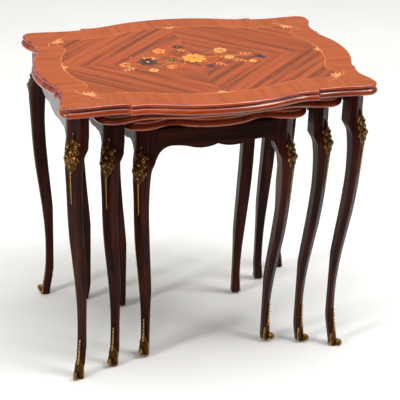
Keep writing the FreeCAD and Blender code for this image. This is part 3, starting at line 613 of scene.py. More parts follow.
PLANS = {
    "large": Plan(22.0, Side(31.0, 34.5, 102.0, 154.0, 25.0, 22.0),
                  Side(10.5, 23.0, 106.0, 140.5, 18.5, 9.0)),
    "middle": Plan(33.0, Side(0.5, 12.5, 95.0), Side(0.5, 9.0, 90.0)),
    "small": Plan(34.0, Side(8.0, 19.3, 93.0), Side(0.5, 7.0, 76.0)),
}
NUB_STEP, NUB_RISE = 3.5, 1.2
BOW_SWING, LOBE_SWING, NUB_SWING = (0.6, 0.2), (0.4, 0.45), (0.4, 0.3)
LEAST_CORNER = 12.0


def swing(start: Sequence[float], end: Sequence[float], shares: Sequence[float],
          count: int) -> np.ndarray:
    """A curve that leaves and arrives level: a cubic with level handles.

    Args:
        start, end: its first point and the point it reaches.
        shares: the length of each handle over the way between the points.
        count: how many points to give.

    Returns:
        The points, without the last one.
    """
    way = end[0] - start[0]
    t = np.linspace(0, 1, count, endpoint=False)[:, None]
    first, last = np.array(start), np.array(end)
    early, late = first + (way * shares[0], 0), last - (way * shares[1], 0)
    return ((1 - t) ** 3 * first + 3 * t * (1 - t) ** 2 * early + 3 * t ** 2 * (1 - t) * late
            + t ** 3 * last)


class TableFrame:
    """Where one table stands, read from its frame, and the outline of its top."""

    def __init__(self, name: str) -> None:
        """Reads the top's box and the place of its legs.

        Args:
            name: which table of the nest it is.
        """
        low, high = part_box(f"{name}_edge_moulding")
        leg_low, leg_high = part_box(f"{name}_leg_front_right")
        self.name = name
        self.body = f"{name}_table"
        self.plan = PLANS[name]
        self.centre_x, self.centre_y = (low.x + high.x) / 2 / MM, (low.y + high.y) / 2 / MM
        self.half_x, self.half_y = (high.x - low.x) / 2 / MM, (high.y - low.y) / 2 / MM
        self.top_z, self.under_z = high.z / MM, low.z / MM
        self.lift = leg_low.z / MM
        self.leg_x = leg_high.x / MM - self.centre_x - Leg.swell
        self.leg_y = self.centre_y - leg_low.y / MM - Leg.swell

    def half_edge(self, reach: float, out: float, lobe_at: float, shape: Side,
                  count: int) -> np.ndarray:
        """Half of one side, from its middle to its lobe: level runs joined by smooth swings.

        Args:
            reach: half the length of the top along this side.
            out: how far the side's nose stands from the middle.
            lobe_at: where the lobe is, along the side.
            shape: how the side steps in.
            count: points in each swing.

        Returns:
            Rows of (along, out), without the lobe's own point.
        """
        lobe = (lobe_at, out - shape.lobe)
        waist = (reach - shape.waist_at, out - shape.waist)
        if not shape.nub:
            return np.vstack([swing((0.0, out), waist, BOW_SWING, count),
                              swing(waist, lobe, LOBE_SWING, count)])
        bow_end = (reach - shape.bow_end, out - shape.nub - NUB_RISE)
        nub = (bow_end[0] + shape.nub_width, out - shape.nub)
        step = (nub[0] + NUB_STEP, waist[1] + NUB_RISE)
        return np.vstack([swing((0.0, out), bow_end, BOW_SWING, count),
                          swing(bow_end, nub, NUB_SWING, count // 2),
                          np.linspace(nub, step, 5)[:-1],
                          swing(step, waist, NUB_SWING, count // 2),
                          swing(waist, lobe, LOBE_SWING, count)])

    def outline(self, inset: float, count: int = 18) -> np.ndarray:
        """The closed outline of the top at an inset from its nose.

        Args:
            inset: how far in to draw it.
            count: points in each swing and each corner.

        Returns:
            Rows of (x, y) about the table's middle.
        """
        plan = self.plan
        radius = max(plan.corner - inset, LEAST_CORNER)
        slack = radius - (plan.corner - inset)
        lobe_x = self.half_x - plan.side.lobe - plan.corner - slack
        lobe_y = self.half_y - plan.front.lobe - plan.corner - slack
        front = self.half_edge(self.half_x, self.half_y - inset, lobe_x, plan.front, count)
        side = self.half_edge(self.half_y, self.half_x - inset, lobe_y, plan.side, count)[:, ::-1]
        turn = np.linspace(math.pi / 2, 0, count)[:-1]
        arc = np.stack([lobe_x + radius * np.cos(turn), lobe_y + radius * np.sin(turn)], -1)
        quarter = np.vstack([front, arc, side[::-1]])
        turned = ((quarter * signs)[::step][:-1]
                  for signs, step in (((1, 1), 1), ((1, -1), -1), ((-1, -1), 1), ((-1, 1), -1)))
        return np.vstack(list(turned))


# ---- edge moulding

@dataclass(frozen=True)
class EdgeMoulding:
    """The moulded edge: a thumb on top, a quirk, and a fuller round below it."""

    show: float = 7.0
    core: float = 14.0
    veneer: float = 1.0
    spaces: int = 52
    section: tuple = ((0.0, 6.2), (0.3, 4.6), (1.4, 3.1), (3.0, 2.5), (4.6, 2.9), (5.9, 4.2),
                      (6.8, 5.3), (7.7, 5.0), (8.8, 3.5), (10.4, 1.7), (12.6, 0.4), (15.0, 0.0),
                      (17.4, 0.9), (19.1, 2.6), (20.0, 4.6))

    def profile(self) -> np.ndarray:
        """A smooth run through the section's points, then the hidden back.

        Returns:
            Rows of (depth, inset).
        """
        turn = np.array(self.section)
        place = np.concatenate([[0], np.cumsum(np.hypot(*np.diff(turn, axis=0).T))])
        run = smooth_run(np.column_stack([place, turn]), np.linspace(0, place[-1], self.spaces))
        thick = self.section[-1][0]
        back = [(thick, self.core), (self.veneer, self.core), (self.veneer, self.show),
                (0.0, self.show)]
        return np.vstack([run, back])

    def build(self, table: TableFrame, finish: bpy.types.Material) -> None:
        """Sweeps the section round the plan: every ring is the outline at one inset.

        Args:
            table: the table it edges.
            finish: its material.
        """
        rings = []
        for depth, inset in self.profile():
            flat = table.outline(inset)
            rings.append(np.column_stack([flat, np.full(len(flat), table.top_z - depth)]))
        shell = moved(tube(np.array(rings), closed=True), table.centre_x, table.centre_y)
        built(f"{table.name}_moulded_edge", shell, finish, table.body,
              [f"{table.name}_edge_moulding"])


# ---- legs

@dataclass
class Leg:
    """A bowed leg: straight block, swelling knee, long sweep in to the ankle, flared foot.

    The section is a square with its outer corner cut flat. The two corners beside the flat
    are drawn in towards it below the block.
    """

    table: TableFrame
    block: float = 35.0
    block_depth: float = 62.0
    swell: float = 7.0
    knee_depth: float = 135.0
    ankle_set: float = 18.9
    flat_share: float = 0.56
    pattern: float = 540.0
    softness: float = 2.6
    drawn_back: float = 0.4
    knee_run: tuple = (30.0, 150.0)
    sweep: tuple = ((0.27, 0.11, 0.734), (0.40, 0.44, 0.677), (0.53, 0.76, 0.609),
                    (0.69, 0.98, 0.546), (0.84, 0.94, 0.486), (1.00, 0.63, 0.430))
    drawn: tuple = ((0, 0.0), (40, 0.0), (62, 3.6), (86, 4.2), (120, 3.0), (180, 1.6),
                    (560, 1.4))

    def __post_init__(self) -> None:
        """Works out the stations down the leg: depth, outer face past the block's, side."""
        rest = self.pattern - self.knee_depth
        knee = [(0.0, 0.0, self.block), (self.block_depth / 2, 0.0, self.block),
                (self.block_depth * 0.8, 0.17 * self.swell, self.block * 1.04),
                (self.block_depth, 0.62 * self.swell, self.block + 0.62 * self.swell),
                (self.block_depth + 15, self.swell, self.block * 1.006),
                (self.block_depth + 33, 0.98 * self.swell, self.block * 0.926),
                (self.knee_depth, 0.69 * self.swell, self.block * 0.809)]
        self.stations = np.array(knee + [
            (self.knee_depth + way * rest, -self.ankle_set * inward, self.block * share)
            for way, inward, share in self.sweep])
        self.height = self.table.under_z - self.table.lift

    def at(self, depth: np.ndarray) -> tuple:
        """Outer face (past the block's) and side of the section at depths."""
        values = smooth_run(self.stations, depth)
        return values[:, 0], values[:, 1]

    def section(self, depth: np.ndarray) -> np.ndarray:
        """Rings of the leg.

        Args:
            depth: how far below the top's underside each ring is.

        Returns:
            (ring, point, 2), measured from the outer faces of the block.
        """
        out, side = self.at(depth)
        pull = np.interp(depth, *np.array(self.drawn).T)
        inner = np.where(depth <= self.block_depth, -self.block,
                         np.maximum(out - side, -self.block))
        flat = out - side * self.flat_share
        near = inner + pull * self.drawn_back
        corners = [(inner, inner), (out - pull, near), (out, flat), (flat, out),
                   (near, out - pull)]
        return rounded(np.stack([np.stack(corner, -1) for corner in corners], 1), self.softness)

    def shell(self) -> Shell:
        """The leg on the back right corner, with closer rings at the knee.

        Returns:
            A shell about the table's middle.
        """
        first, last = self.knee_run
        depth = np.concatenate([[0.0, 1.0, 15.0], np.linspace(first, last, 49),
                                np.linspace(last + 5, self.height - 1.0, 54), [self.height]])
        flat = self.section(depth) + np.array([self.table.leg_x, self.table.leg_y])
        z = np.repeat((self.table.under_z - depth)[:, None], flat.shape[1], 1)
        return tube(np.dstack([flat, z]))

    def corner_point(self, depth: np.ndarray) -> np.ndarray:
        """Points on the middle of the flat outer corner.

        Args:
            depth: how far below the top's underside each point is.

        Returns:
            Rows of points about the table's middle.
        """
        out, side = self.at(depth)
        back = out - side * self.flat_share / 2
        return np.column_stack([self.table.leg_x + back, self.table.leg_y + back,
                                self.table.under_z - depth])

    def flat_half(self, depth: np.ndarray) -> np.ndarray:
        """Half the width of the flat outer corner at depths."""
        return self.at(depth)[1] * self.flat_share * math.sqrt(0.5)


CORNER_SHARE, GUARD = 0.4, 1.25


def rounded(corners: np.ndarray, radius: float, steps: int = 4) -> np.ndarray:
    """Corners of many rings made round: each is a quadratic curve between its two tangents.

    Args:
        corners: (ring, corner, 2).
        radius: how far from the corner the curve starts.
        steps: spaces along each curve.

    Returns:
        (ring, corner * (steps + 3), 2), with a guard point outside both ends of each curve.
    """
    before = np.roll(corners, 1, 1) - corners
    after = np.roll(corners, -1, 1) - corners
    long_before = np.linalg.norm(before, axis=2, keepdims=True)
    long_after = np.linalg.norm(after, axis=2, keepdims=True)
    reach = np.minimum(radius, np.minimum(long_before, long_after) * CORNER_SHARE)
    start, end = before / long_before * reach, after / long_after * reach
    t = np.linspace(0, 1, steps + 1)[None, None, :, None]
    middle = corners[:, :, None]
    curve = middle + (1 - t) ** 2 * start[:, :, None] + t ** 2 * end[:, :, None]
    whole = np.concatenate([middle + GUARD * start[:, :, None], curve,
                            middle + GUARD * end[:, :, None]], 2)
    return whole.reshape(len(corners), -1, 2)


# ---- cast mounts

OUT = np.array([1.0, 1.0, 0.0]) * math.sqrt(0.5)
ACROSS = np.array([1.0, -1.0, 0.0]) * math.sqrt(0.5)
UP = np.array([0.0, 0.0, 1.0])
CORNERS = {"back_right": (1, 1), "back_left": (-1, 1), "front_right": (1, -1),
           "front_left": (-1, -1)}
FOLD, SUNK = 0.9, 0.6


@dataclass(frozen=True)
class Strap:
    """A tapering strap with beads on it; each taper is what its size loses along it."""

    height: float
    radius: float
    taper: float
    flat: float
    bead_height: float
    bead_radius: float
    bead_taper: float
    beads: int
    span: tuple


@dataclass
class CornerCasting:
    """Brass that lies on the flat outer corner of a leg and folds over its arrises."""

    leg: Leg

    def on_leg(self, depth: np.ndarray, across: np.ndarray, height: np.ndarray) -> np.ndarray:
        """Points on the leg. Past the arris the surface falls back as it goes across.

        Args:
            depth, across, height: how far down the leg, across the corner and above the wood.

        Returns:
            The points, with a last axis of three.
        """
        depth, across, height = np.broadcast_arrays(depth, across, height)
        base = self.leg.corner_point(depth.ravel()).reshape(*depth.shape, 3)
        half = self.leg.flat_half(depth.ravel()).reshape(depth.shape)
        fold = np.maximum(np.abs(across) - half, 0.0) * FOLD
        return base + OUT * (height - fold)[..., None] + ACROSS * across[..., None]

    def plate(self, depth: np.ndarray, across: np.ndarray, height: np.ndarray) -> Shell:
        """A casting with a relief on its face and its back sunk in the wood."""
        back = self.on_leg(depth, across, -SUNK)[:, ::-1]
        return tube(np.concatenate([self.on_leg(depth, across, height), back], 1))

    def beaded_strap(self, start: float, end: float, strap: Strap) -> list:
        """A strap down or up the middle of the corner.

        Args:
            start, end: the depths of its wide end and its tip.
            strap: its sizes.

        Returns:
            The shells of the strap and its beads.
        """
        along = np.linspace(0, 1, 30)
        path = self.on_leg(start + along * (end - start), 0.0, strap.height)
        rod = swept(path, strap.radius - strap.taper * along, flat=strap.flat, side=ACROSS)
        places = np.linspace(*strap.span, strap.beads)
        where = self.on_leg(start + places * (end - start), 0.0, strap.bead_height)
        return [rod] + [bead(point, strap.bead_radius - strap.bead_taper * place)
                        for point, place in zip(where, places)]


@dataclass
class KneeMount(CornerCasting):
    """A cast leaf on the knee: a pointed tip, curled lobes, a scroll, and a beaded tail."""

    tip: float = 33.0
    length: float = 74.0
    tail: float = 64.0
    widest: float = 14.2
    proud: float = 3.4
    lobes: float = 5.0
    lobe_depth: float = 0.13
    flutes: float = 9.0
    flute_slant: float = 1.6
    flute_height: float = 0.85
    ridges: tuple = (0.0, 0.78)
    ridge_height: float = 1.1
    ridge_width: float = 0.12
    outline: tuple = ((0.0, 0.05), (0.10, 0.12), (0.17, 0.22), (0.22, 0.62), (0.27, 0.90),
                      (0.36, 0.84), (0.50, 0.94), (0.64, 1.0), (0.78, 0.84), (0.90, 0.44),
                      (1.0, 0.13))
    strap: Strap = Strap(0.5, 1.9, 0.9, 0.7, 1.3, 1.75, 0.8, 12, (0.03, 0.97))

    def relief(self) -> Shell:
        """The leaf: its height is a dome with a raised rib, slanted flutes and curled lobes.

        Returns:
            A plate.
        """
        v = np.linspace(0, 1, 90)
        lobes = 1 + self.lobe_depth * np.sin(v * 2 * math.pi * self.lobes) * np.sin(math.pi * v)
        width = smooth_run(np.array(self.outline), v)[:, 0] * self.widest * lobes
        vv, uu = np.meshgrid(v, np.linspace(-1, 1, 37), indexing="ij")
        wide = np.abs(uu)
        body = np.sin(math.pi * np.clip(vv * 0.94 + 0.05, 0, 1)) ** 0.6
        dome = np.sqrt(np.clip(1 - uu ** 2, 0, 1)) * self.proud
        flutes = (self.flute_height * wide ** 0.6
                  * np.cos((vv * self.flutes - wide * self.flute_slant) * 2 * math.pi))
        ridges = sum(self.ridge_height * np.exp(-((wide - at) / self.ridge_width) ** 2)
                     for at in self.ridges)
        height = 0.5 + (dome + (flutes + ridges) * np.clip(1.02 - uu ** 8, 0, 1)) * body
        return self.plate(self.tip + vv * self.length, uu * width[:, None], height)

    def scroll(self, depth: float, across: float, radius: float, turn: float) -> Shell:
        """A round scroll: a rod along a spiral that winds in as its angle grows.

        Args:
            depth, across: its middle, down the leg and across the corner.
            radius: the reach of its outer turn.
            turn: 1 or -1, for the way it winds.

        Returns:
            A rod.
        """
        t = np.linspace(0, 1, 40)
        angle = turn * t * 2.6 * math.pi + math.pi / 2
        reach = radius * (1 - 0.72 * t)
        path = self.on_leg(depth + reach * np.sin(angle), across + reach * np.cos(angle),
                           self.proud + 0.9 + 1.3 * t)
        return swept(path, 1.25 * (1 - 0.35 * t), side=OUT)

    def shell(self) -> Shell:
        """The leaf, two pairs of scrolls, three buds and the tail.

        Returns:
            The whole mount on the back right leg.
        """
        middle, high = self.tip + self.length * 0.62, self.tip + self.length * 0.33
        parts = [self.relief()]
        parts += [self.scroll(middle, side * 6.4, 5.2, side) for side in (-1, 1)]
        parts += [self.scroll(high, side * 7.4, 3.2, -side) for side in (-1, 1)]
        buds = self.on_leg(np.array([middle - 12.0, middle + 13.0, self.tip + 2.0]), 0.0,
                           np.array([self.proud + 1.0, self.proud + 0.4, 1.6]))
        parts += [bead(p, r, 8, 12) for p, r in zip(buds, (3.0, 2.4, 1.7))]
        start = self.tip + self.length - 3
        return joined(parts + self.beaded_strap(start, start + self.tail, self.strap))


@dataclass
class ToeMount(CornerCasting):
    """A cast shoe on the outer corner of a foot: a leaf, a beaded tongue and a scrolled toe."""

    leaf_height: float = 44.0
    tongue_height: float = 80.0
    tongue_from: float = 0.7
    wrap: float = 11.5
    proud: float = 2.6
    roll_out: float = 6.6
    roll_up: float = 8.7
    roll_radius: float = 6.4
    drum_up: float = 7.2
    drum_half: float = 4.6
    drum_radius: float = 5.9
    strap: Strap = Strap(1.4, 2.6, 1.2, 0.8, 2.9, 2.3, 0.9, 7, (0.02, 0.95))

    def foot(self, up: float) -> np.ndarray:
        """The outer corner of the foot, at a height above the floor."""
        x, y, _ = self.leg.corner_point(np.array([self.leg.height]))[0]
        return np.array([x, y, self.leg.table.lift + up])

    def leaf(self) -> Shell:
        """The leaf: its top edge falls away from the middle, and flutes run up it.

        Returns:
            A plate.
        """
        vv, uu = np.meshgrid(np.linspace(0, 1, 46), np.linspace(-1, 1, 29), indexing="ij")
        top = self.leaf_height * (1 - 0.42 * np.abs(uu) ** 1.4 + 0.04 * np.cos(uu * 6 * math.pi))
        flutes = 0.55 * np.cos(uu * 5 * math.pi) * np.sin(math.pi * np.clip(vv, 0, 0.98))
        foot_roll = 1.6 * np.exp(-((vv - 0.06) / 0.07) ** 2)
        return self.plate(self.leg.height - 1.0 - vv * (top - 1.0), uu * (self.wrap - 2.2 * vv),
                          self.proud * (1 - 0.45 * vv) + flutes + foot_roll)

    def toe(self) -> Shell:
        """The toe: a thick strap that rolls forward off the foot and winds into a scroll.

        Returns:
            A rod.
        """
        t = np.linspace(0, 1, 56)
        angle = -math.pi / 2 + (1 - t) * 0.2 + t * 3.1 * math.pi
        reach = self.roll_radius * (1 - 0.66 * t)
        path = (self.foot(self.roll_up) + OUT * self.roll_out
                + OUT * (reach * np.cos(angle))[:, None] + UP * (reach * np.sin(angle))[:, None])
        lead = np.linspace(0, 1, 12)[:-1, None]
        path = np.vstack([(self.foot(3.2) - OUT * 5.0) * (1 - lead) + path[0] * lead, path])
        thick = np.interp(np.linspace(0, 1, len(path)), (0, 0.2, 0.5, 1), (2.2, 2.4, 1.9, 1.3))
        return swept(path, thick, side=ACROSS, around=12)

    def drum(self) -> Shell:
        """The body of the scroll: a short drum across the corner with domed ends.

        Returns:
            A rod.
        """
        along = np.linspace(-1, 1, 15)
        middle = self.foot(self.drum_up) + OUT * self.roll_out
        swell = np.clip(1 - np.abs(along) ** 5, 0.35, 1) * (1 + 0.06 * np.cos(along * 14))
        return swept(middle + along[:, None] * ACROSS * self.drum_half, self.drum_radius * swell,
                     around=20)

    def shell(self) -> Shell:
        """The whole shoe on the back right leg."""
        tongue = self.beaded_strap(self.leg.height - self.leaf_height * self.tongue_from,
                                   self.leg.height - self.tongue_height, self.strap)
        return joined([self.leaf(), self.toe(), self.drum()] + tongue)


# ---- inlay

GOLD, HONEY, CREAM = srgb(232, 150, 62)[:3], srgb(222, 132, 66)[:3], srgb(226, 158, 96)[:3]
GREEN, DARK, SLATE = srgb(112, 92, 44)[:3], srgb(78, 58, 48)[:3], srgb(54, 58, 66)[:3]
PLUM, RUSSET = srgb(118, 62, 58)[:3], srgb(176, 84, 40)[:3]
SKIN, ROOT = 0.12, 0.3
DRAWN_HALF = 303.5
LINE_INSET = 55.0
STEMS = (((0, 0), (-92, -4), 0.05), ((0, 2), (-16, 62), -0.1), ((-20, 0), (-56, 48), 0.1),
         ((-60, -6), (-138, -12), 0.04), ((-40, -10), (-92, -46), -0.06),
         ((0, 0), (62, 32), 0.08), ((0, 0), (122, -12), 0.05), ((8, -4), (20, -46), 0.1),
         ((-20, -8), (-42, -45), 0.08), ((50, -4), (104, 18), -0.08), ((40, 4), (96, -38), 0.08))
LEAVES = ((-30, 12, 2.6), (-66, 10, 2.9), (-108, -10, 3.3), (-64, -24, 3.7), (-30, -22, 4.1),
          (24, 22, 1.0), (44, 18, 0.5), (84, 2, 0.1), (66, -20, -0.5), (30, -26, -0.9),
          (100, 14, 0.4), (-8, 34, 1.9), (-100, 14, 2.6), (-118, -26, 3.6), (104, -26, -0.4))
LEAF_TINTS = (HONEY, GREEN, CREAM, RUSSET)
FLOWERS = ((0, 0, 23, 8, GOLD, RUSSET, 3), (60, 32, 13, 6, CREAM, HONEY, 2),
           (-15, 64, 11, 6, DARK, CREAM, 1), (-90, -3, 20, 7, DARK, CREAM, 2),
           (-134, -11, 12, 5, HONEY, DARK, 2), (-55, 49, 13, 5, HONEY, CREAM, 2),
           (-44, -2, 11, 6, GREEN, CREAM, 1), (-90, -46, 9, 5, CREAM, HONEY, 1),
           (-52, -36, 11, 5, HONEY, GOLD, 2), (18, -46, 11, 5, PLUM, SLATE, 1),
           (66, -8, 10, 6, CREAM, GOLD, 2), (104, -34, 8, 5, CREAM, HONEY, 1))
LAYER_SHADES = (1.0, 0.8, 1.12)


def flake(outline: np.ndarray, top_z: float, colour: Sequence[float]) -> Shell:
    """A thin inlaid piece with an eased edge that stands a hair above the veneer.

    Args:
        outline: rows of (x, y) round the piece.
        top_z: the height of the veneer.
        colour: its tint.

    Returns:
        A tinted shell.
    """
    middle = outline.mean(0)
    rings = []
    for share, z in ((1.0, top_z - ROOT), (1.0, top_z + SKIN * 0.5), (0.93, top_z + SKIN)):
        flat = middle + (outline - middle) * share
        rings.append(np.column_stack([flat, np.full(len(flat), z)]))
    return tube(np.array(rings)).tinted(colour)


def petal(x: float, y: float, angle: float, length: float, width: float) -> np.ndarray:
    """A petal's outline: a loop that is widest at two thirds of its length.

    Args:
        x, y: its root.
        angle: the way it points.
        length, width: its sizes.

    Returns:
        Rows of (x, y).
    """
    t = np.linspace(0, 2 * math.pi, 18, endpoint=False)
    along = length * (0.5 - 0.5 * np.cos(t))
    across = width / 2 * np.sin(t) * (0.6 + 0.4 * along / length)
    c, s = math.cos(angle), math.sin(angle)
    return np.column_stack([x + along * c - across * s, y + along * s + across * c])


def stem(start: Sequence[float], end: Sequence[float], bend: float, top_z: float,
         colour: Sequence[float], width: float = 1.3) -> Shell:
    """A curved stem that narrows to half its width: a ribbon square to a parabola.

    Args:
        start, end: its root and its tip.
        bend: how far it bows out, over its length.
        top_z: the height of the veneer.
        colour: its tint.
        width: its width at the root.

    Returns:
        A tinted shell.
    """
    t = np.linspace(0, 1, 16)[:, None]
    a, b = np.array(start, float), np.array(end, float)
    path = a + (b - a) * t + np.array([-(b - a)[1], (b - a)[0]]) * bend * 4 * t * (1 - t)
    run = np.gradient(path, axis=0)
    run /= np.linalg.norm(run, axis=1, keepdims=True)
    side = np.column_stack([-run[:, 1], run[:, 0]]) * width * (1 - 0.5 * t) / 2
    low, high = top_z - ROOT, top_z + SKIN * 0.8
    corners = ((path + side, low), (path + side, high), (path - side, high), (path - side, low))
    rings = np.stack([np.column_stack([flat, np.full(len(flat), z)]) for flat, z in corners], 1)
    return tube(rings).tinted(colour)


class Marquetry:
    """Flowers, leaves and stems inlaid in the middle of a top, and scrolls at its corners."""

    def __init__(self, table: TableFrame) -> None:
        """Takes the table that it is laid in."""
        self.table = table
        self.rng = np.random.default_rng(7)
        self.parts: list = []

    def lay(self, outline: np.ndarray, colour: np.ndarray, level: float = 0.0) -> None:
        """Lays one flake, some hairs above the veneer."""
        self.parts.append(flake(outline, self.table.top_z + SKIN * level, colour))

    def flower(self, x: float, y: float, radius: float, petals: int, colour: Sequence[float],
               heart: Sequence[float], layers: int) -> None:
        """An open flower: rings of petals, each ring smaller and higher, and a round heart.

        Args:
            x, y: its middle.
            radius: how far its petals reach.
            petals: how many each ring has.
            colour, heart: the tints of the petals and of the heart.
            layers: how many rings it has.
        """
        for layer in range(layers):
            reach = radius * (1 - 0.34 * layer)
            shade = np.array(colour) * LAYER_SHADES[layer]
            for k in range(petals):
                angle = 2 * math.pi * (k + 0.5 * layer) / petals + 0.3
                self.lay(petal(x, y, angle, reach, reach * 5.2 / petals),
                         shade * self.rng.uniform(0.86, 1.14), 0.35 * layer)
        turn = np.linspace(0, 2 * math.pi, 12, endpoint=False)
        ring = np.column_stack([x + np.cos(turn) * radius * 0.17, y + np.sin(turn) * radius * 0.17])
        self.lay(ring, heart, 0.4 * layers)

    def leaf_spray(self, x: float, y: float, angle: float, colour: Sequence[float],
                   length: float = 15.0) -> None:
        """Three pairs of leaves along a short stem.

        Args:
            x, y: the root of the stem.
            angle: the way it points.
            colour: its tint.
            length: the length of a leaf.
        """
        tip = (x + math.cos(angle) * length * 1.6, y + math.sin(angle) * length * 1.6)
        self.parts.append(stem((x, y), tip, 0.06, self.table.top_z, colour))
        for share in (0.25, 0.625, 1.0):
            px, py = x + (tip[0] - x) * share, y + (tip[1] - y) * share
            for way in (-1, 1):
                shape = petal(px, py, angle + way * 0.75, length * (0.8 - 0.3 * share),
                              length * 0.24)
                self.lay(shape, np.array(colour) * self.rng.uniform(0.8, 1.2))

    def spray(self) -> None:
        """The middle spray: a golden rose with flowers, buds and leaves to both sides."""
        for start, end, bend in STEMS:
            self.parts.append(stem(start, end, bend, self.table.top_z - SKIN * 0.2, HONEY, 1.5))
        for x, y, angle in LEAVES:
            self.leaf_spray(x, y, angle, LEAF_TINTS[self.rng.integers(len(LEAF_TINTS))])
        for flower in FLOWERS:
            self.flower(*flower)
        for k, angle in enumerate((-0.5, -0.1, 0.3)):
            self.lay(petal(114, -13, angle, 22 - 2 * k, 9), np.array(SLATE) * (1 - 0.12 * k),
                     0.2 * k)

    def edge_scrolls(self) -> None:
        """Small leafy scrolls where the pale line turns at each corner and mid-side."""
        line = self.table.outline(LINE_INSET)
        spots = [(sx, sy, 3 * math.sqrt(0.5), 17.0) for sx in (-1, 1) for sy in (-1, 1)]
        spots += [(x, y, 1.0, 11.0) for x, y in ((0, 1), (0, -1), (1, 0), (-1, 0))]
        for x, y, inward, size in spots:
            way = np.array([x, y])
            self.flourish(line[np.argmax(line @ way)] - way * inward, math.atan2(-y, -x), size)

    def flourish(self, at: np.ndarray, angle: float, size: float) -> None:
        """A small palmette: a middle leaf and two curling leaves on each side of it.

        Args:
            at: its root.
            angle: the way it points.
            size: the length of its middle leaf.
        """
        for turn, share in ((0, 1.0), (0.7, 0.85), (-0.7, 0.85), (1.4, 0.9), (-1.4, 0.9)):
            self.lay(petal(at[0], at[1], angle + turn, size * share, size * 0.24),
                     np.array(CREAM) * self.rng.uniform(0.85, 1.1))
        for way in (-1, 1):
            heading = angle + way * 1.45
            tip = at + size * 1.9 * np.array([math.cos(heading), math.sin(heading)])
            self.parts.append(stem(at, tip, 0.16 * way, self.table.top_z, CREAM, 1.6))

    def build(self, finish: bpy.types.Material) -> None:
        """Inlays the spray, scaled to the top, and the scrolls."""
        self.spray()
        for part in self.parts:
            part.points[:, :2] *= self.table.half_x / DRAWN_HALF
        self.edge_scrolls()
        shell = moved(joined(self.parts), self.table.centre_x, self.table.centre_y)
        built(f"{self.table.name}_inlaid_flowers", shell, finish, self.table.body)


# ---- one table

DRESSED = {"side_apron_left": "side", "side_apron_right": "side", "back_apron": "rail",
           "front_apron": "rail", "runner_left": "runner", "runner_right": "runner",
           "corner_blocks": "runner", "mount_pins": "brass", "top_screws": "steel"}


class Table:
    """One table of the nest, with everything that is dressed on it."""

    def __init__(self, name: str, finishes: dict) -> None:
        """Takes the table's name and the finishes shared by the nest."""
        self.place = TableFrame(name)
        self.finishes = finishes

    def dress(self, node: str, finish: bpy.types.Material) -> None:
        """Gives a carried-over piece of the frame its finish."""
        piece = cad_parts[f"{self.place.name}_{node}"]
        piece.data.materials.clear()
        piece.data.materials.append(finish)

    def build_top(self) -> None:
        """The moulded edge, the veneers and the inlay."""
        EdgeMoulding().build(self.place, self.finishes["moulding"])
        field = FIELD_VENEER.material(self.place)
        for node, finish in (("top_board", self.finishes["core"]), ("field_veneer", field),
                             ("marquetry", field), ("stringing", self.finishes["line"]),
                             ("crossband", BORDER_VENEER.material(self.place))):
            self.dress(node, finish)
        Marquetry(self.place).build(self.finishes["inlay"])

    def build_legs(self) -> None:
        """Four legs, and the mounts on their knees and feet."""
        table = self.place
        leg = Leg(table)
        shell = leg.shell()
        for corner, (sx, sy) in CORNERS.items():
            turned = moved(mirrored(shell, sx, sy), table.centre_x, table.centre_y)
            built(f"{table.name}_bowed_leg_{corner}", turned, self.finishes["frame"], table.body,
                  [f"{table.name}_leg_{corner}"])
        for label, mount, node in (("knee_leaves", KneeMount(leg), "knee_mounts"),
                                   ("scrolled_shoes", ToeMount(leg), "sabots")):
            cast = mount.shell()
            whole = joined([mirrored(cast, sx, sy) for sx, sy in CORNERS.values()])
            built(f"{table.name}_{label}", moved(whole, table.centre_x, table.centre_y),
                  self.finishes["brass"], table.body, [f"{table.name}_{node}"])

    def build_frame(self) -> None:
        """The aprons, runners, blocks and fixings, which keep the frame's own shapes."""
        for node, finish in DRESSED.items():
            if f"{self.place.name}_{node}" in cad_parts:
                self.dress(node, self.finishes[finish])


# ---- room

def hung(name: str, data: bpy.types.ID, axes: Sequence[np.ndarray],
         place: Sequence[float]) -> bpy.types.Object:
    """A camera or light set up in the room.

    Args:
        name: its name.
        data: the camera or light.
        axes: its right, up and back directions.
        place: where it stands, in metres.

    Returns:
        The object that holds it.
    """
    matrix = np.eye(4)
    matrix[:3, :3] = np.column_stack(axes)
    matrix[:3, 3] = place
    holder = linked(name, data)
    holder.matrix_world = Matrix(matrix.tolist())
    return holder


@dataclass(frozen=True)
class Viewpoint:
    """Where the camera stands and how it is turned."""

    place: tuple = (-0.73161, -2.37547, 1.47713)
    yaw: float = 0.30708
    pitch: float = 0.45319
    roll: float = 0.03853
    lens: float = 127.465
    film: float = 36.0

    def build(self) -> None:
        """Sets up the camera: yaw right of +Y, pitch below level, then roll."""
        sy, cy = math.sin(self.yaw), math.cos(self.yaw)
        sp, cp = math.sin(self.pitch), math.cos(self.pitch)
        ahead = np.array([sy * cp, cy * cp, -sp])
        right = np.array([cy, -sy, 0.0])
        up = np.cross(right, ahead)
        c, s = math.cos(self.roll), math.sin(self.roll)
        camera = bpy.data.cameras.new("viewpoint")
        camera.lens, camera.sensor_width, camera.clip_end = self.lens, self.film, 50.0
        bpy.context.scene.camera = hung(
            "viewpoint", camera, (c * right + s * up, -s * right + c * up, -ahead), self.place)


@dataclass(frozen=True)
class SoftBox:
    """A rectangular studio light that looks at a point."""

    name: str
    place: tuple
    size: tuple
    power: float
    target: tuple = (0.0, 0.0, 0.3)

    def build(self) -> None:
        """Hangs the light and turns it to its target."""
        light = bpy.data.lights.new(self.name, "AREA")
        light.shape, light.size, light.size_y = "RECTANGLE", *self.size
        light.energy = self.power
        back = np.array(self.place) - np.array(self.target)
        back /= np.linalg.norm(back)
        right = np.cross(UP, back)
        right /= np.linalg.norm(right)
        hung(self.name, light, (right, np.cross(back, right), back), self.place)


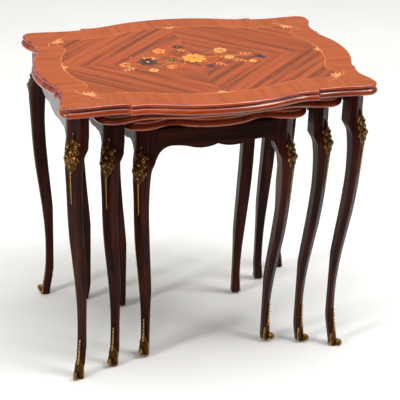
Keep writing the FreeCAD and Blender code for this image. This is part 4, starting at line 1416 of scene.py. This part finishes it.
@dataclass(frozen=True)
class Studio:
    """A pale floor, soft lights, and a room that is bright behind the nest and dim before it."""

    floor_x: tuple = (-7.0, 7.0)
    floor_y: tuple = (-0.95, 9.0)
    paper: tuple = ((0.3, (0.87, 0.865, 0.845, 1)), (0.7, (0.90, 0.895, 0.875, 1)))
    seen: tuple = (0.93, 0.925, 0.905, 1)
    unseen: tuple = ((0.30, (0.08, 0.08, 0.08, 1)), (0.80, (0.42, 0.42, 0.41, 1)))
    lights: tuple = (SoftBox("key_light", (3.6, -2.0, 5.8), (2.4, 2.4), 225.0),
                     SoftBox("left_light", (-3.2, -1.3, 1.9), (0.6, 0.9), 62.0),
                     SoftBox("glint_light", (-1.2, -2.3, 2.6), (0.4, 0.4), 7.0),
                     SoftBox("top_light", (0.0, -0.1, 4.2), (3.4, 2.2), 135.0))

    def floor(self) -> None:
        """The floor, as one flat grid of paper."""
        x, y = np.linspace(*self.floor_x, 15), np.linspace(*self.floor_y, 11)
        points = np.stack(np.meshgrid(x, y, [0.0], indexing="ij"), -1).reshape(-1, 3)
        i, j = np.meshgrid(np.arange(len(x) - 1), np.arange(len(y) - 1), indexing="ij")
        first = (i * len(y) + j).ravel()
        faces = np.column_stack([first, first + len(y), first + len(y) + 1, first + 1])
        mesh = bpy.data.meshes.new("pale_floor")
        mesh.from_pydata(points.tolist(), [], faces.tolist())
        paper, nodes, shader = new_material("white_paper")
        tone = nodes.ramp(nodes.noise(nodes.place(), 3.0, 2.0), self.paper)
        nodes.feed(shader, Base_Color=tone, Roughness=0.6)
        mesh.materials.append(paper)
        linked("pale_floor", mesh)

    def room(self) -> None:
        """The surroundings: pale where they are seen, dimmer where they only light the nest."""
        world = bpy.data.worlds.new("bright_room")
        bpy.context.scene.world = world
        world.use_nodes = True
        nodes = Nodes(world.node_tree)
        way = nodes.add("TexCoord").outputs["Generated"]
        depth = nodes.add("SeparateXYZ", None, Vector=way).outputs[1]
        dim = nodes.ramp(nodes.spread(depth, (-1.0, 1.0)), self.unseen)
        by_camera = nodes.add("LightPath").outputs["Is Camera Ray"]
        nodes.feed(world.node_tree.nodes["Background"],
                   Color=nodes.mixed(by_camera, dim, self.seen))
        bpy.context.scene.view_settings.view_transform = "Standard"

    def build(self) -> None:
        """Lays the floor, hangs the lights and lights the room."""
        self.floor()
        for light in self.lights:
            light.build()
        self.room()


def main() -> None:
    """Builds the nest table by table, then the room and the viewpoint."""
    logging.basicConfig(level=logging.INFO, format="%(name)s %(message)s")
    finishes = {
        "frame": FRAME_WOOD.material(), "rail": RAIL_WOOD.material(),
        "side": SIDE_RAIL_WOOD.material(), "moulding": MOULDING_WOOD.material(),
        "line": LINE_WOOD.material(), "core": CORE_WOOD.material(),
        "runner": RUNNER_WOOD.material(), "brass": BRASS.material(),
        "steel": STEEL.material(), "inlay": inlay_material(),
    }
    for name in PLANS:
        table = Table(name, finishes)
        table.build_top()
        table.build_legs()
        table.build_frame()
        log.info("%s table dressed", name)
    Studio().build()
    Viewpoint().build()


if __name__ == "__main__":
    main()
